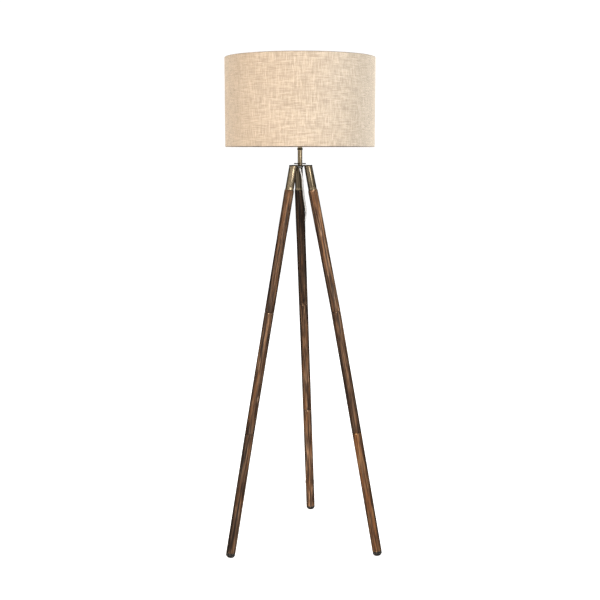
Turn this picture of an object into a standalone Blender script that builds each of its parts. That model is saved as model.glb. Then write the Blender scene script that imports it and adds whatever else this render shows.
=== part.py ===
"""Tripod floor lamp: a linen drum shade on a short brass stem, over a brass head and three turned
wooden legs, each screwed together from three lengths. Metres, +Z up, standing on z = 0."""

from math import ceil, cos, pi, radians, sin

import bmesh
import bpy
from mathutils import Matrix, Vector

GAP = 0.0003  # between pieces that touch
SEGMENTS = 24

# Shade
LAMP_HEIGHT = 1.500
SHADE_HEIGHT = 0.2638
SHADE_RADIUS = 0.225
COVER_WALL = 0.0012
LINER_WALL = 0.0005
SHADE_SEGMENTS = 64
RING_SEGMENTS = 48
SHADE_BOTTOM = LAMP_HEIGHT - SHADE_HEIGHT
SHADE_WIRE = 0.002
SPIDER_SPOKES = 3
SPIDER_TURN = radians(30)

# Head: a plate with three lobes over the three ferrules
PLATE_UNDER = SHADE_BOTTOM - 0.0564
PLATE_THICK = 0.0032
SOCKET_RADIUS = 0.0262
SOCKET_TURN = radians(10)
LOBE_RADIUS = 0.0128
FERRULE_LENGTH = 0.0741
FERRULE_TOP = 0.0122
FERRULE_FOOT = 0.0130
TENON_TOP = 0.0096
TENON_FOOT = 0.0110
TENON_LENGTH = 0.050

# Legs: where each one's axis meets the floor, as a radius and a bearing about the stem, and how far
# each of its two joints stands to the right of a straight line from socket to floor
LEG_TOP_RADIUS = 0.0145
LEG_FOOT_RADIUS = 0.0140
CHAMFER = 0.0006
SECTIONS = ("upper", "middle", "lower")
JOINT_SHARE = 0.3305  # from the rim to each joint, as a share of the leg below the rim
LEGS = {
    "left": {"socket": 210, "reach": 0.2646, "bearing": 216.34, "joints": (-0.0011, -0.0014)},
    "rear": {"socket": 90, "reach": 0.2745, "bearing": 82.2, "joints": (0, 0)},
    "right": {"socket": 330, "reach": 0.2770, "bearing": 329.38, "joints": (0.0049, 0.0027)},
}
STUD_RADIUS = 0.004
STUD_BORE = 0.0043
STUD_IN_WOOD = 0.025
STUD_IN_FERRULE = 0.012
FOOT_TOP = 0.0150
FOOT_SIDE = 0.0055
FOOT_CROWN = 0.0100
SPIGOT_RADIUS = 0.003
SPIGOT_LENGTH = 0.012

# Stem and lampholder
STEM_RADIUS = 0.0070
STEM_BORE = 0.0050
STEM_END = PLATE_UNDER - 0.0063
HOLDER_FLANGE = SHADE_BOTTOM + 0.0258
BULB_RADIUS = 0.0300
BULB_WALL = 0.0012

# Flex, in-line switch and plug
FLEX_RADIUS = 0.00275
FLEX_STEP_UPPER = 0.0140
FLEX_STEP_LOWER = 0.0175
RELIEF_TOP = 0.0058
RELIEF_TIP = 0.0040
SWITCH_DOWN = 0.498
SWITCH_SIZE = (0.022, 0.0155, 0.058)
SWITCH_WALL = 0.0022
ROCKER_TILT = radians(7)
ROCKER_WIDTH = 0.0092
ROCKER_DISH = 0.0260
ROCKER_SPAN = radians(21.5)
ROCKER_PROUD = 0.0030
ROCKER_KEEL = 0.0060
ROCKER_DEEP = 0.0042
ROCKER_WINDOW = (0.0102, 0.0210)
CLIP_SIZE = (0.0150, 0.0085, 0.0120)
CLIPS_DOWN = (0.184, 0.388, 0.985)
HANK_X = 0.0250
HANK_Y = 0.2970
HANK_RUN = 0.0920
HANK_FOLD = 0.0165
HANK_WAIST = 0.0200
HANK_PITCH = 0.0056
HANK_LANES = 3
HANK_FLOOR = 0.0042
HANK_SLACK = 0.0002
TIE_THICK = 0.0009
TIE_WIDTH = 0.0080
TIE_SLACK = 0.0011
PLUG_Y = 0.4540
PLUG_Z = 0.0070
PLUG_RELIEF = 0.0240
PLUG_BODY = 0.0340
PIN_SPACING = 0.0186
PIN_RADIUS = 0.0020
PIN_LENGTH = 0.0190

# The route of the flex's free length: out of the stem, round the rear leg, down its back to the
# switch, on down to the floor, and after the hank to the plug.
ROUTE_TO_SWITCH = (
    (-0.0121, -0.0297, 1.1735),
    (-0.0114, -0.0297, 1.1690),
    (-0.0097, -0.0288, 1.1620),
    (-0.0071, -0.0262, 1.1530),
    (-0.0050, -0.0207, 1.1400),
    (-0.0041, -0.0130, 1.1240),
    (-0.0027, -0.0054, 1.1080),
    (-0.0010, 0.0004, 1.0902),
    (0.0019, 0.0083, 1.0703),
    (0.0050, 0.0192, 1.0503),
    (0.0059, 0.0325, 1.0304),
    (0.0023, 0.0464, 1.0085),
    (-0.0041, 0.0548, 0.9856),
    (-0.0085, 0.0600, 0.9606),
    (-0.0081, 0.0641, 0.9406),
    (-0.0072, 0.0693, 0.9156),
    (-0.0049, 0.0828, 0.8506),
    (-0.0014, 0.1037, 0.7507),
    (-0.0006, 0.1083, 0.7282),
    (0.0001, 0.1119, 0.7107),
    (0.0009, 0.1183, 0.6887),
    (0.0016, 0.1259, 0.6678),
    (0.0021, 0.1289, 0.6534),
)
ROUTE_TO_HANK = (
    (0.0041, 0.1410, 0.5960),
    (0.0046, 0.1440, 0.5816),
    (0.0053, 0.1448, 0.5637),
    (0.0058, 0.1460, 0.5487),
    (0.0065, 0.1495, 0.5308),
    (0.0092, 0.1661, 0.4508),
    (0.0128, 0.1869, 0.3508),
    (0.0164, 0.2077, 0.2509),
    (0.0199, 0.2286, 0.1509),
    (0.0226, 0.2441, 0.0759),
    (0.0241, 0.2533, 0.0319),
    (0.0246, 0.2570, 0.0203),
    (0.0254, 0.2644, 0.0108),
    (0.0270, 0.2747, 0.0052),
    (0.0288, 0.2850, 0.0036),
    (0.0302, 0.2967, 0.0040),
)
ROUTE_TO_PLUG = (
    (0.0196, 0.4280, 0.0045),
    (0.0210, 0.4350, 0.0050),
    (0.0242, 0.4450, 0.0065),
    (0.0250, 0.4533, 0.0070),
)


def foot_point(leg):
    """Where a leg's axis meets the floor, measured from the stem."""
    turn = radians(leg["bearing"])
    return Vector((leg["reach"] * cos(turn), leg["reach"] * sin(turn), 0))


def socket_point(leg):
    """Where a leg's axis meets the plate's underside, measured from the stem."""
    turn = radians(leg["socket"]) + SOCKET_TURN
    return Vector((SOCKET_RADIUS * cos(turn), SOCKET_RADIUS * sin(turn), PLATE_UNDER))


# The stem stands here, so that the lamp's box, without the flex behind it, is centred on the origin.
STEM = Vector((-0.01207, -0.02973, 0))


def clear_scene():
    for old in list(bpy.data.objects):
        bpy.data.objects.remove(old)


def new_collection(name):
    collection = bpy.data.collections.new(name)
    bpy.context.scene.collection.children.link(collection)
    return collection


clear_scene()
LAMP = new_collection("tripod_floor_lamp")
CUTTERS = new_collection("cutters")


def new_material(name, color, roughness, metallic=0.0):
    material = bpy.data.materials.new(name)
    material.use_nodes = True
    shader = material.node_tree.nodes["Principled BSDF"]
    shader.inputs["Base Color"].default_value = (*color, 1.0)
    shader.inputs["Roughness"].default_value = roughness
    shader.inputs["Metallic"].default_value = metallic
    return material


LOOKS = {
    "linen": ((0.78, 0.66, 0.50), 0.90, 0.0),
    "liner": ((0.92, 0.91, 0.88), 0.50, 0.0),
    "wood": ((0.115, 0.066, 0.036), 0.50, 0.0),
    "amber_wood": ((0.19, 0.090, 0.040), 0.48, 0.0),
    "brass": ((0.30, 0.235, 0.135), 0.38, 1.0),
    "steel": ((0.55, 0.55, 0.55), 0.35, 1.0),
    "white_wire": ((0.85, 0.85, 0.83), 0.45, 0.0),
    "ceramic": ((0.86, 0.85, 0.81), 0.30, 0.0),
    "bulb": ((0.95, 0.95, 0.93), 0.25, 0.0),
    "rubber": ((0.035, 0.033, 0.030), 0.75, 0.0),
    "clear_flex": ((0.62, 0.60, 0.57), 0.30, 0.0),
    "pale_plastic": ((0.82, 0.81, 0.78), 0.40, 0.0),
}


def link(name, data, look, parent=None, at=(0, 0, 0), collection=LAMP):
    """A named object, with a material of its own where it is a part."""
    made = bpy.data.objects.new(name, data)
    made.location = at
    made.parent = parent
    collection.objects.link(made)
    if look:
        data.materials.append(new_material(name, *LOOKS[look]))
    return made


def new_frame(name, place):
    """An empty that pieces are placed in."""
    empty = bpy.data.objects.new(name, None)
    empty.matrix_world = place
    LAMP.objects.link(empty)
    return empty


def turned(name, profile, look, parent=None, at=(0, 0, 0), segments=SEGMENTS):
    """A turned piece. The profile's (radius, height) points run down the outer side and up the
    inner one, and close on the axis or on themselves."""
    mesh = bpy.data.meshes.new(name)
    points = [(radius, 0, height) for radius, height in profile]
    edges = [(i, i + 1) for i in range(len(points) - 1)]
    if profile[0][0] > 0:
        edges.append((len(points) - 1, 0))
    mesh.from_pydata(points, edges, [])
    made = link(name, mesh, look, parent, at)
    screw = made.modifiers.new("turn", "SCREW")
    screw.steps = segments
    screw.render_steps = segments
    screw.use_merge_vertices = True
    screw.merge_threshold = 0.00001
    screw.use_smooth_shade = True
    return made


def ring(inner, outer, low, high):
    """The profile of a plain ring."""
    return ((outer, high), (outer, low), (inner, low), (inner, high))


def box(name, size, look, parent=None, at=(0, 0, 0), bevel=0.0, collection=LAMP):
    mesh = bpy.data.meshes.new(name)
    bm = bmesh.new()
    bmesh.ops.create_cube(bm, size=1.0)
    bmesh.ops.scale(bm, vec=size, verts=bm.verts)
    bm.to_mesh(mesh)
    bm.free()
    made = link(name, mesh, look, parent, at, collection)
    if bevel:
        rounding = made.modifiers.new("rounding", "BEVEL")
        rounding.width = bevel
        rounding.segments = 2
    return made


def cutter(made):
    """Keeps a solid out of sight, to cut another with."""
    for collection in list(made.users_collection):
        collection.objects.unlink(made)
    CUTTERS.objects.link(made)
    made.hide_render = True
    made.display_type = "WIRE"
    return made


def cut(made, by):
    modifier = made.modifiers.new("cut", "BOOLEAN")
    modifier.operation = "DIFFERENCE"
    modifier.solver = "EXACT"
    modifier.object = by
    return made


def rod_cutter(name, radius, length, parent, at):
    """A round cutter along its parent's Z."""
    profile = ((0, length / 2), (radius, length / 2), (radius, -length / 2), (0, -length / 2))
    return cutter(turned(name, profile, None, parent, at))


def tube(name, line, radius, look, resolution=2):
    """A round solid along a line of points."""
    curve = bpy.data.curves.new(name, "CURVE")
    curve.dimensions = "3D"
    curve.bevel_depth = radius
    curve.bevel_resolution = resolution
    curve.use_fill_caps = True
    spline = curve.splines.new("POLY")
    spline.points.add(len(line) - 1)
    for point, place in zip(spline.points, line):
        point.co = (*place, 1)
    spline.use_smooth = True
    return link(name, curve, look)


def flat_solid(name, outlines, thick, look, parent=None, at=(0, 0, 0)):
    """A flat piece of that thickness from closed outlines, a hole's among them."""
    curve = bpy.data.curves.new(name, "CURVE")
    curve.dimensions = "2D"
    curve.fill_mode = "BOTH"
    curve.extrude = thick / 2
    for outline in outlines:
        spline = curve.splines.new("POLY")
        spline.points.add(len(outline) - 1)
        for point, (x, y) in zip(spline.points, outline):
            point.co = (x, y, 0, 1)
        spline.use_cyclic_u = True
    return link(name, curve, look, parent, at)


def arc(centre, radius, start, end, count):
    """Points on an arc, both ends included."""
    turns = (start + (end - start) * i / (count - 1) for i in range(count))
    return [(centre[0] + radius * cos(turn), centre[1] + radius * sin(turn)) for turn in turns]


def smooth_line(route, step):
    """Points about a step apart on a smooth curve through the route's own points."""
    points = [Vector(p) for p in route]
    points = [2 * points[0] - points[1], *points, 2 * points[-1] - points[-2]]
    fine = []
    for a, b, c, d in zip(points, points[1:], points[2:], points[3:]):
        for i in range(16):
            t = i / 16
            slope = (c - a) * t
            bend = (2 * a - 5 * b + 4 * c - d) * t**2
            twist = (3 * b - a - 3 * c + d) * t**3
            fine.append(b + (slope + bend + twist) / 2)
    fine.append(points[-2])
    lengths = [0.0]
    for a, b in zip(fine, fine[1:]):
        lengths.append(lengths[-1] + (b - a).length)
    count = ceil(lengths[-1] / step)
    line = []
    at = 0
    for i in range(count + 1):
        wanted = lengths[-1] * i / count
        while at < len(fine) - 2 and lengths[at + 1] < wanted:
            at += 1
        share = (wanted - lengths[at]) / (lengths[at + 1] - lengths[at])
        line.append(fine[at].lerp(fine[at + 1], min(share, 1.0)))
    return line


def sleeve(name, line, radii, bore, look, parts=12):
    """A tapered sleeve round a line: its outer radius goes from one value to the other."""
    bm = bmesh.new()
    rings = []
    for shell in range(2):
        for i, centre in enumerate(line):
            along = (line[min(i + 1, len(line) - 1)] - line[max(i - 1, 0)]).normalized()
            side = along.cross(Vector((0, 1, 0))).normalized()
            up = side.cross(along)
            radius = bore if shell else radii[0] + (radii[1] - radii[0]) * i / (len(line) - 1)
            turns = [2 * pi * k / parts for k in range(parts)]
            rings.append([bm.verts.new(centre + radius * (cos(t) * side + sin(t) * up)) for t in turns])
    outer, inner = rings[: len(line)], rings[len(line) :]
    loop = outer + inner[::-1]
    for a, b in zip(loop, loop[1:] + loop[:1]):
        for k in range(parts):
            bm.faces.new((a[k], a[(k + 1) % parts], b[(k + 1) % parts], b[k]))
    bmesh.ops.recalc_face_normals(bm, faces=bm.faces)
    mesh = bpy.data.meshes.new(name)
    bm.to_mesh(mesh)
    bm.free()
    mesh.shade_smooth()
    mesh.set_sharp_from_angle(angle=radians(40))
    return link(name, mesh, look)


def at_stem(height=0.0):
    return (STEM.x, STEM.y, height)


# Shade


def make_shade():
    outer = SHADE_RADIUS
    inner = outer - COVER_WALL
    bottom, top = SHADE_BOTTOM, LAMP_HEIGHT
    turned("shade_cover", ring(inner, outer, bottom, top), "linen", None, at_stem(), SHADE_SEGMENTS)
    liner_outer = inner - GAP
    liner = ring(liner_outer - LINER_WALL, liner_outer, bottom + GAP, top - GAP)
    turned("shade_liner", liner, "liner", None, at_stem(), SHADE_SEGMENTS)
    wire_middle = (liner_outer - LINER_WALL) * cos(pi / SHADE_SEGMENTS) - GAP - SHADE_WIRE
    for name, height in (("top", top - SHADE_WIRE - 0.001), ("bottom", bottom + SHADE_WIRE + 0.001)):
        profile = arc((wire_middle, height), SHADE_WIRE, 0, -5 * pi / 3, 6)
        turned(f"shade_{name}_ring", profile, "white_wire", None, at_stem(), RING_SEGMENTS)
    make_spider(wire_middle)


def make_spider(wire_middle):
    """The fitter that holds the shade on the lampholder, just above the shade's lower edge."""
    low = HOLDER_FLANGE + GAP
    turned("spider_ring", ring(0.0206, 0.0260, low, low + 0.002), "white_wire", None, at_stem())
    for i in range(SPIDER_SPOKES):
        turn = SPIDER_TURN + 2 * pi * i / SPIDER_SPOKES
        out = Vector((cos(turn), sin(turn), 0))
        inner_end = STEM + out * (0.0260 + GAP) + Vector((0, 0, low + 0.001))
        outer_end = STEM + out * (wire_middle - SHADE_WIRE - 2 * GAP) + Vector((0, 0, SHADE_BOTTOM + 0.003))
        bend = STEM + out * 0.034 + Vector((0, 0, low + 0.001))
        tube(f"spider_spoke_{i + 1}", (inner_end, bend, outer_end), SHADE_WIRE, "white_wire", 1)


# Lampholder and bulb


def make_holder():
    base = SHADE_BOTTOM - 0.0020
    flange = HOLDER_FLANGE
    skirt = (
        (0.0190, flange - 0.0035),
        (0.0190, base + 0.0160),
        (0.0165, base + 0.0080),
        (0.0110, base + 0.0025),
        (0.0090, base),
        (STEM_RADIUS + GAP, base),
        (STEM_RADIUS + GAP, base + 0.0040),
        (0.0145, base + 0.0100),
        (0.0172, base + 0.0165),
        (0.0172, flange - 0.0035),
    )
    turned("holder_skirt", skirt, "brass", None, at_stem())
    sleeve_profile = (
        (0.0196, flange + 0.0330),
        (0.0196, flange),
        (0.0250, flange),
        (0.0250, flange - 0.0030),
        (0.0168, flange - 0.0030),
        (0.0168, flange + 0.0330),
    )
    turned("holder_sleeve", sleeve_profile, "ceramic", None, at_stem())
    insert = (
        (0, flange + 0.0060),
        (0.0160, flange + 0.0060),
        (0.0160, flange - 0.0060),
        (0.0050, flange - 0.0060),
        (0.0050, flange - 0.0020),
        (0, flange - 0.0020),
    )
    turned("holder_insert", insert, "ceramic", None, at_stem())
    turned("screw_shell", ring(0.0142, 0.0148, flange + 0.0064, flange + 0.0290), "steel", None, at_stem())
    retainer = (
        (0.0235, flange + 0.0160),
        (0.0235, flange + 0.0060),
        (0.0255, flange + 0.0055),
        (0.0255, flange + 0.0026),
        (0.0201, flange + 0.0026),
        (0.0201, flange + 0.0160),
    )
    turned("shade_ring_nut", retainer, "ceramic", None, at_stem())


def make_bulb():
    tip = HOLDER_FLANGE + 0.0068
    cap = [(0, tip + 0.0270), (0.0132, tip + 0.0270)]
    for i in range(3):
        cap.append((0.0132, tip + 0.0230 - 0.005 * i))
        cap.append((0.0122, tip + 0.0210 - 0.005 * i))
    cap += [(0.0125, tip + 0.0070), (0.0060, tip + 0.0015), (0.0045, tip), (0, tip)]
    turned("bulb_cap", cap, "steel", None, at_stem())
    centre = tip + 0.0750
    neck = tip + 0.0270 + GAP
    wall = BULB_WALL
    globe = [(sin(pi * k / 11), cos(pi * k / 11)) for k in range(9)]
    glass = [(BULB_RADIUS * x, centre + BULB_RADIUS * z) for x, z in globe]
    glass += [(0.0190, neck + 0.0120), (0.0145, neck + 0.0030), (0.0140, neck), (0.0140 - wall, neck)]
    glass += [(0.0145 - wall, neck + 0.0035), (0.0190 - wall, neck + 0.0125)]
    glass += [((BULB_RADIUS - wall) * x, centre + (BULB_RADIUS - wall) * z) for x, z in globe[::-1]]
    turned("bulb_glass", glass, "bulb", None, at_stem())


# Stem and head


def make_stem():
    top = SHADE_BOTTOM + 0.0018
    turned("stem_tube", ring(STEM_BORE, STEM_RADIUS, STEM_END, top), "brass", None, at_stem())
    hole = STEM_RADIUS + GAP
    collar = SHADE_BOTTOM - 0.0084
    collar_profile = (
        (0.0079, collar + 0.0055),
        (0.0085, collar + 0.0049),
        (0.0085, collar + 0.0006),
        (0.0079, collar),
        (hole, collar),
        (hole, collar + 0.0055),
    )
    turned("stem_collar", collar_profile, "brass", None, at_stem())
    disc = SHADE_BOTTOM - 0.0507
    disc_profile = (
        (0.0172, disc + 0.0032),
        (0.0180, disc + 0.0024),
        (0.0180, disc + 0.0008),
        (0.0172, disc),
        (hole, disc),
        (hole, disc + 0.0032),
    )
    turned("stem_disc", disc_profile, "brass", None, at_stem())
    nut = [(0.0100 * cos(pi * k / 3), 0.0100 * sin(pi * k / 3)) for k in range(6)]
    bore = arc((0, 0), hole, 2 * pi, 2 * pi / SEGMENTS, SEGMENTS)
    nut_middle = PLATE_UNDER - GAP - 0.0021
    flat_solid("stem_nut", (nut, bore), 0.0042, "steel", None, at_stem(nut_middle))


def make_plate():
    outline = []
    for socket in sorted(leg["socket"] for leg in LEGS.values()):
        turn = radians(socket) + SOCKET_TURN
        centre = (SOCKET_RADIUS * cos(turn), SOCKET_RADIUS * sin(turn))
        outline += arc(centre, LOBE_RADIUS, turn - pi / 3, turn + pi / 3, 9)
    hole = arc((0, 0), STEM_RADIUS + GAP, 2 * pi, 2 * pi / SEGMENTS, SEGMENTS)
    middle = PLATE_UNDER + PLATE_THICK / 2
    flat_solid("head_plate", (outline, hole), PLATE_THICK, "brass", None, at_stem(middle))


# Legs


def axis_frame(name, top, low):
    """A frame at the top point: Z up from the low point, Y as near to the lamp's back as it can be."""
    up = (top - low).normalized()
    back = (Vector((0, 1, 0)) - up * up.y).normalized()
    rotation = Matrix((back.cross(up), back, up)).transposed().to_4x4()
    return new_frame(name, Matrix.Translation(top) @ rotation)


def leg_points(leg):
    """A leg's axis: the socket, the ferrule's rim, the two joints, the wood's end and the floor."""
    socket, floor = STEM + socket_point(leg), STEM + foot_point(leg)
    up = (socket - floor).normalized()
    side = Vector((up.z, 0, -up.x)).normalized()
    joints = []
    for i, bow in enumerate(leg["joints"], 1):
        down = FERRULE_LENGTH + JOINT_SHARE * leg_length(leg) * i
        joints.append(socket - up * down + side * bow)
    rim = socket + (joints[0] - socket).normalized() * FERRULE_LENGTH
    end = floor + (joints[1] - floor).normalized() * FOOT_TOP
    return [socket, rim, *joints, end, floor]


def leg_length(leg):
    """From the ferrule's rim to the floor."""
    return (socket_point(leg) - foot_point(leg)).length - FERRULE_LENGTH


def wood_radius(down, leg):
    """A leg's radius at that distance below the ferrule's rim."""
    return LEG_TOP_RADIUS + (LEG_FOOT_RADIUS - LEG_TOP_RADIUS) * down / leg_length(leg)


def make_ferrule(name, frame, above_plate):
    """A tapered brass cap with a bead at its rim and a blind bore for the leg's tenon."""
    past_plate = FERRULE_LENGTH + 0.010
    slope = (FERRULE_TOP - FERRULE_FOOT) / FERRULE_LENGTH
    profile = (
        (0, past_plate),
        (FERRULE_FOOT + slope * past_plate, past_plate),
        (FERRULE_FOOT + slope * 0.0030, 0.0030),
        (FERRULE_FOOT + 0.0005, 0.0022),
        (FERRULE_FOOT + 0.0005, 0.0006),
        (FERRULE_FOOT, 0),
        (TENON_FOOT + GAP, 0),
        (TENON_TOP + GAP, TENON_LENGTH + GAP),
        (STUD_BORE, TENON_LENGTH + GAP),
        (STUD_BORE, TENON_LENGTH + STUD_IN_FERRULE + GAP),
        (0, TENON_LENGTH + STUD_IN_FERRULE + GAP),
    )
    cut(turned(f"{name}_ferrule", profile, "brass", frame), above_plate)


def make_sections(name, frames, points):
    """A leg's three lengths of wood, with a blind bore for a stud in each end."""
    deep = STUD_IN_WOOD + GAP
    above = 0
    for part, frame, top_point, low_point in zip(SECTIONS, frames, points[1:], points[2:]):
        long = (top_point - low_point).length
        top, low = -GAP, GAP / 2 - long
        wide, narrow = wood_radius(above, LEGS[name]), wood_radius(above + long, LEGS[name])
        above += long
        end_bore = (SPIGOT_RADIUS + GAP, SPIGOT_LENGTH + GAP) if part == "lower" else (STUD_BORE, deep)
        if part == "upper":
            head = [
                (0, TENON_LENGTH - deep),
                (STUD_BORE, TENON_LENGTH - deep),
                (STUD_BORE, TENON_LENGTH),
                (TENON_TOP, TENON_LENGTH),
                (TENON_FOOT, top),
            ]
        else:
            head = [(0, top - deep), (STUD_BORE, top - deep), (STUD_BORE, top)]
        head += [(wide - CHAMFER, top), (wide, top - CHAMFER)]
        foot = [
            (narrow, low + CHAMFER),
            (narrow - CHAMFER, low),
            (end_bore[0], low),
            (end_bore[0], low + end_bore[1]),
            (0, low + end_bore[1]),
        ]
        look = "amber_wood" if (name, part) == ("right", "lower") else "wood"
        turned(f"{name}_leg_{part}", head + foot, look, frame)


def make_studs(name, frames, points):
    """The threaded studs, as plain rods: one up into the ferrule, and one across each joint."""
    top = ((0, TENON_LENGTH + STUD_IN_FERRULE), (STUD_RADIUS, TENON_LENGTH + STUD_IN_FERRULE))
    top += ((STUD_RADIUS, TENON_LENGTH - STUD_IN_WOOD), (0, TENON_LENGTH - STUD_IN_WOOD))
    turned(f"{name}_top_stud", top, "steel", frames[0], segments=12)
    half = STUD_IN_WOOD - GAP
    across = ((0, half), (STUD_RADIUS, half), (STUD_RADIUS, -half), (0, -half))
    for which, before, joint, after in zip(("upper", "lower"), points[1:], points[2:4], points[3:]):
        lean = (before - joint).normalized() + (joint - after).normalized()
        frame = axis_frame(f"{name}_{which}_joint_frame", joint, joint - lean)
        turned(f"{name}_{which}_stud", across, "steel", frame, segments=12)


def make_foot(name, frame, long, below_floor):
    """A rubber foot with a rounded end, cut level with the floor, on a spigot in the wood."""
    top = -long - GAP
    low = top - FOOT_SIDE
    profile = [(0, top + SPIGOT_LENGTH), (SPIGOT_RADIUS, top + SPIGOT_LENGTH), (SPIGOT_RADIUS, top)]
    profile.append((LEG_FOOT_RADIUS, top))
    for k in range(6):
        turn = pi / 2 * k / 6
        profile.append((LEG_FOOT_RADIUS * cos(turn), low - FOOT_CROWN * sin(turn)))
    cut(turned(f"{name}_foot", profile + [(0, low - FOOT_CROWN)], "rubber", frame), below_floor)


def make_legs():
    """The three legs. Gives back the rear one's frame, which the flex's fittings are placed in."""
    slab = (0.6, 0.6, 0.1)
    above = box("above_plate", slab, None, None, at_stem(PLATE_UNDER - GAP + 0.05), collection=CUTTERS)
    below = box("below_floor", slab, None, None, at_stem(-0.05), collection=CUTTERS)
    rims = {}
    for name, leg in LEGS.items():
        points = leg_points(leg)
        frames = []
        for part, top, low in zip(SECTIONS, points[1:], points[2:]):
            frames.append(axis_frame(f"{name}_{part}_leg_frame", top, low))
        make_ferrule(name, frames[0], cutter(above))
        make_sections(name, frames, points)
        make_studs(name, frames, points)
        make_foot(name, frames[2], (points[3] - points[4]).length, cutter(below))
        rims[name] = frames[0]
    return rims["rear"]


# Flex, clips, switch and plug


def make_clip(number, down, frame):
    """A clip on the leg's back: it saddles the wood, and the flex runs through it."""
    wood = wood_radius(down, LEGS["rear"])
    flex_out = wood + 0.0005 + FLEX_RADIUS
    middle = wood + CLIP_SIZE[1] / 2 - 0.0016
    clip = box(f"cord_clip_{number}", CLIP_SIZE, "clear_flex", frame, (0, middle, -down), 0.0015)
    cut(clip, rod_cutter(f"clip_{number}_wood", wood + GAP, 0.04, frame, (0, 0, -down)))
    cut(clip, rod_cutter(f"clip_{number}_flex", FLEX_RADIUS + 0.0005, 0.04, frame, (0, flex_out, -down)))


def make_switch(frame):
    """The in-line switch on the leg's back: two half shells and a rocker, which rests tilted."""
    width, height, long = SWITCH_SIZE
    seat = wood_radius(SWITCH_DOWN, LEGS["rear"]) + 0.0005
    half = height / 2
    for name, low in (("switch_base", seat), ("switch_cover", seat + half)):
        thick = half - GAP / 2
        middle = low + half / 2
        shell = box(name, (width, thick, long), "pale_plastic", frame, (0, middle, -SWITCH_DOWN), 0.0012)
        inward = 1 if name == "switch_base" else -1
        hollow_size = (width - 2 * SWITCH_WALL, thick, long - 2 * 0.006)
        hollow_at = (0, middle + inward * SWITCH_WALL, -SWITCH_DOWN)
        cut(shell, box(f"{name}_hollow", hollow_size, None, frame, hollow_at, collection=CUTTERS))
        cutter(bpy.data.objects[f"{name}_hollow"])
    window_size = (ROCKER_WINDOW[0], height, ROCKER_WINDOW[1])
    window_at = (0, seat + height, -SWITCH_DOWN)
    window = box("switch_window", window_size, None, frame, window_at, collection=CUTTERS)
    cut(bpy.data.objects["switch_cover"], cutter(window))
    pivot = new_frame("rocker_frame", Matrix.Identity(4))
    pivot.parent = frame
    pivot.location = (0, seat + height - 0.0020, -SWITCH_DOWN)
    pivot.rotation_euler = (ROCKER_TILT, 0, 0)
    centre = (0, ROCKER_DISH + ROCKER_PROUD)
    dished = arc(centre, ROCKER_DISH, -pi / 2 - ROCKER_SPAN, -pi / 2 + ROCKER_SPAN, 9)
    outline = dished + [(ROCKER_KEEL, -ROCKER_DEEP), (-ROCKER_KEEL, -ROCKER_DEEP)]
    rocker = flat_solid("switch_rocker", (outline,), ROCKER_WIDTH, "pale_plastic", pivot)
    rocker.rotation_euler = (0, -pi / 2, 0)


def hank_outline():
    """The closed outline of the tied hank from the side, as (y, z): round ends and a waist."""
    reach = HANK_FOLD + FLEX_RADIUS + HANK_SLACK
    start = HANK_Y + reach
    end = start + HANK_RUN
    middle = HANK_FLOOR + HANK_FOLD
    outline = arc((end, middle), reach, -pi / 2, pi / 2, 11)
    for i in range(1, 12):
        share = i / 12
        dip = HANK_WAIST * (1 - cos(2 * pi * share)) / 2
        outline.append((end - HANK_RUN * share, middle + reach - dip))
    outline += arc((start, middle), reach, pi / 2, 3 * pi / 2, 11)
    return outline


def make_hank():
    wide = HANK_PITCH * (HANK_LANES - 1) + 2 * (FLEX_RADIUS + HANK_SLACK)
    hank = flat_solid("flex_hank", (hank_outline(),), wide, "clear_flex", None, (HANK_X, 0, 0))
    hank.rotation_euler = (pi / 2, 0, pi / 2)
    top = HANK_FLOOR + 2 * HANK_FOLD - HANK_WAIST + FLEX_RADIUS + TIE_SLACK
    low = HANK_FLOOR - FLEX_RADIUS - HANK_SLACK - GAP
    centre = (HANK_X, HANK_Y + HANK_FOLD + FLEX_RADIUS + HANK_RUN / 2, (top + low) / 2)
    inside = (wide + 2 * GAP, 2 * TIE_WIDTH, top - low)
    outside = (inside[0] + 2 * TIE_THICK, TIE_WIDTH, inside[2] + 2 * TIE_THICK)
    tie = box("hank_tie", outside, "rubber", None, centre, TIE_THICK / 2)
    hole = box("tie_hole", inside, None, None, centre, collection=CUTTERS)
    cut(tie, cutter(hole))


def plug_section(along):
    """The plug's half width and half height at that distance from the flex."""
    if along < PLUG_RELIEF:
        share = along / PLUG_RELIEF
        return 0.0036 + 0.0016 * share, 0.0036 + 0.0010 * share
    share = (along - PLUG_RELIEF) / PLUG_BODY
    swell = min(1.0, share * 1.6)
    ease = swell * swell * (3 - 2 * swell)
    return 0.0062 + 0.0114 * ease, 0.0052 + 0.00165 * min(1.0, 3 * share)


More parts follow.
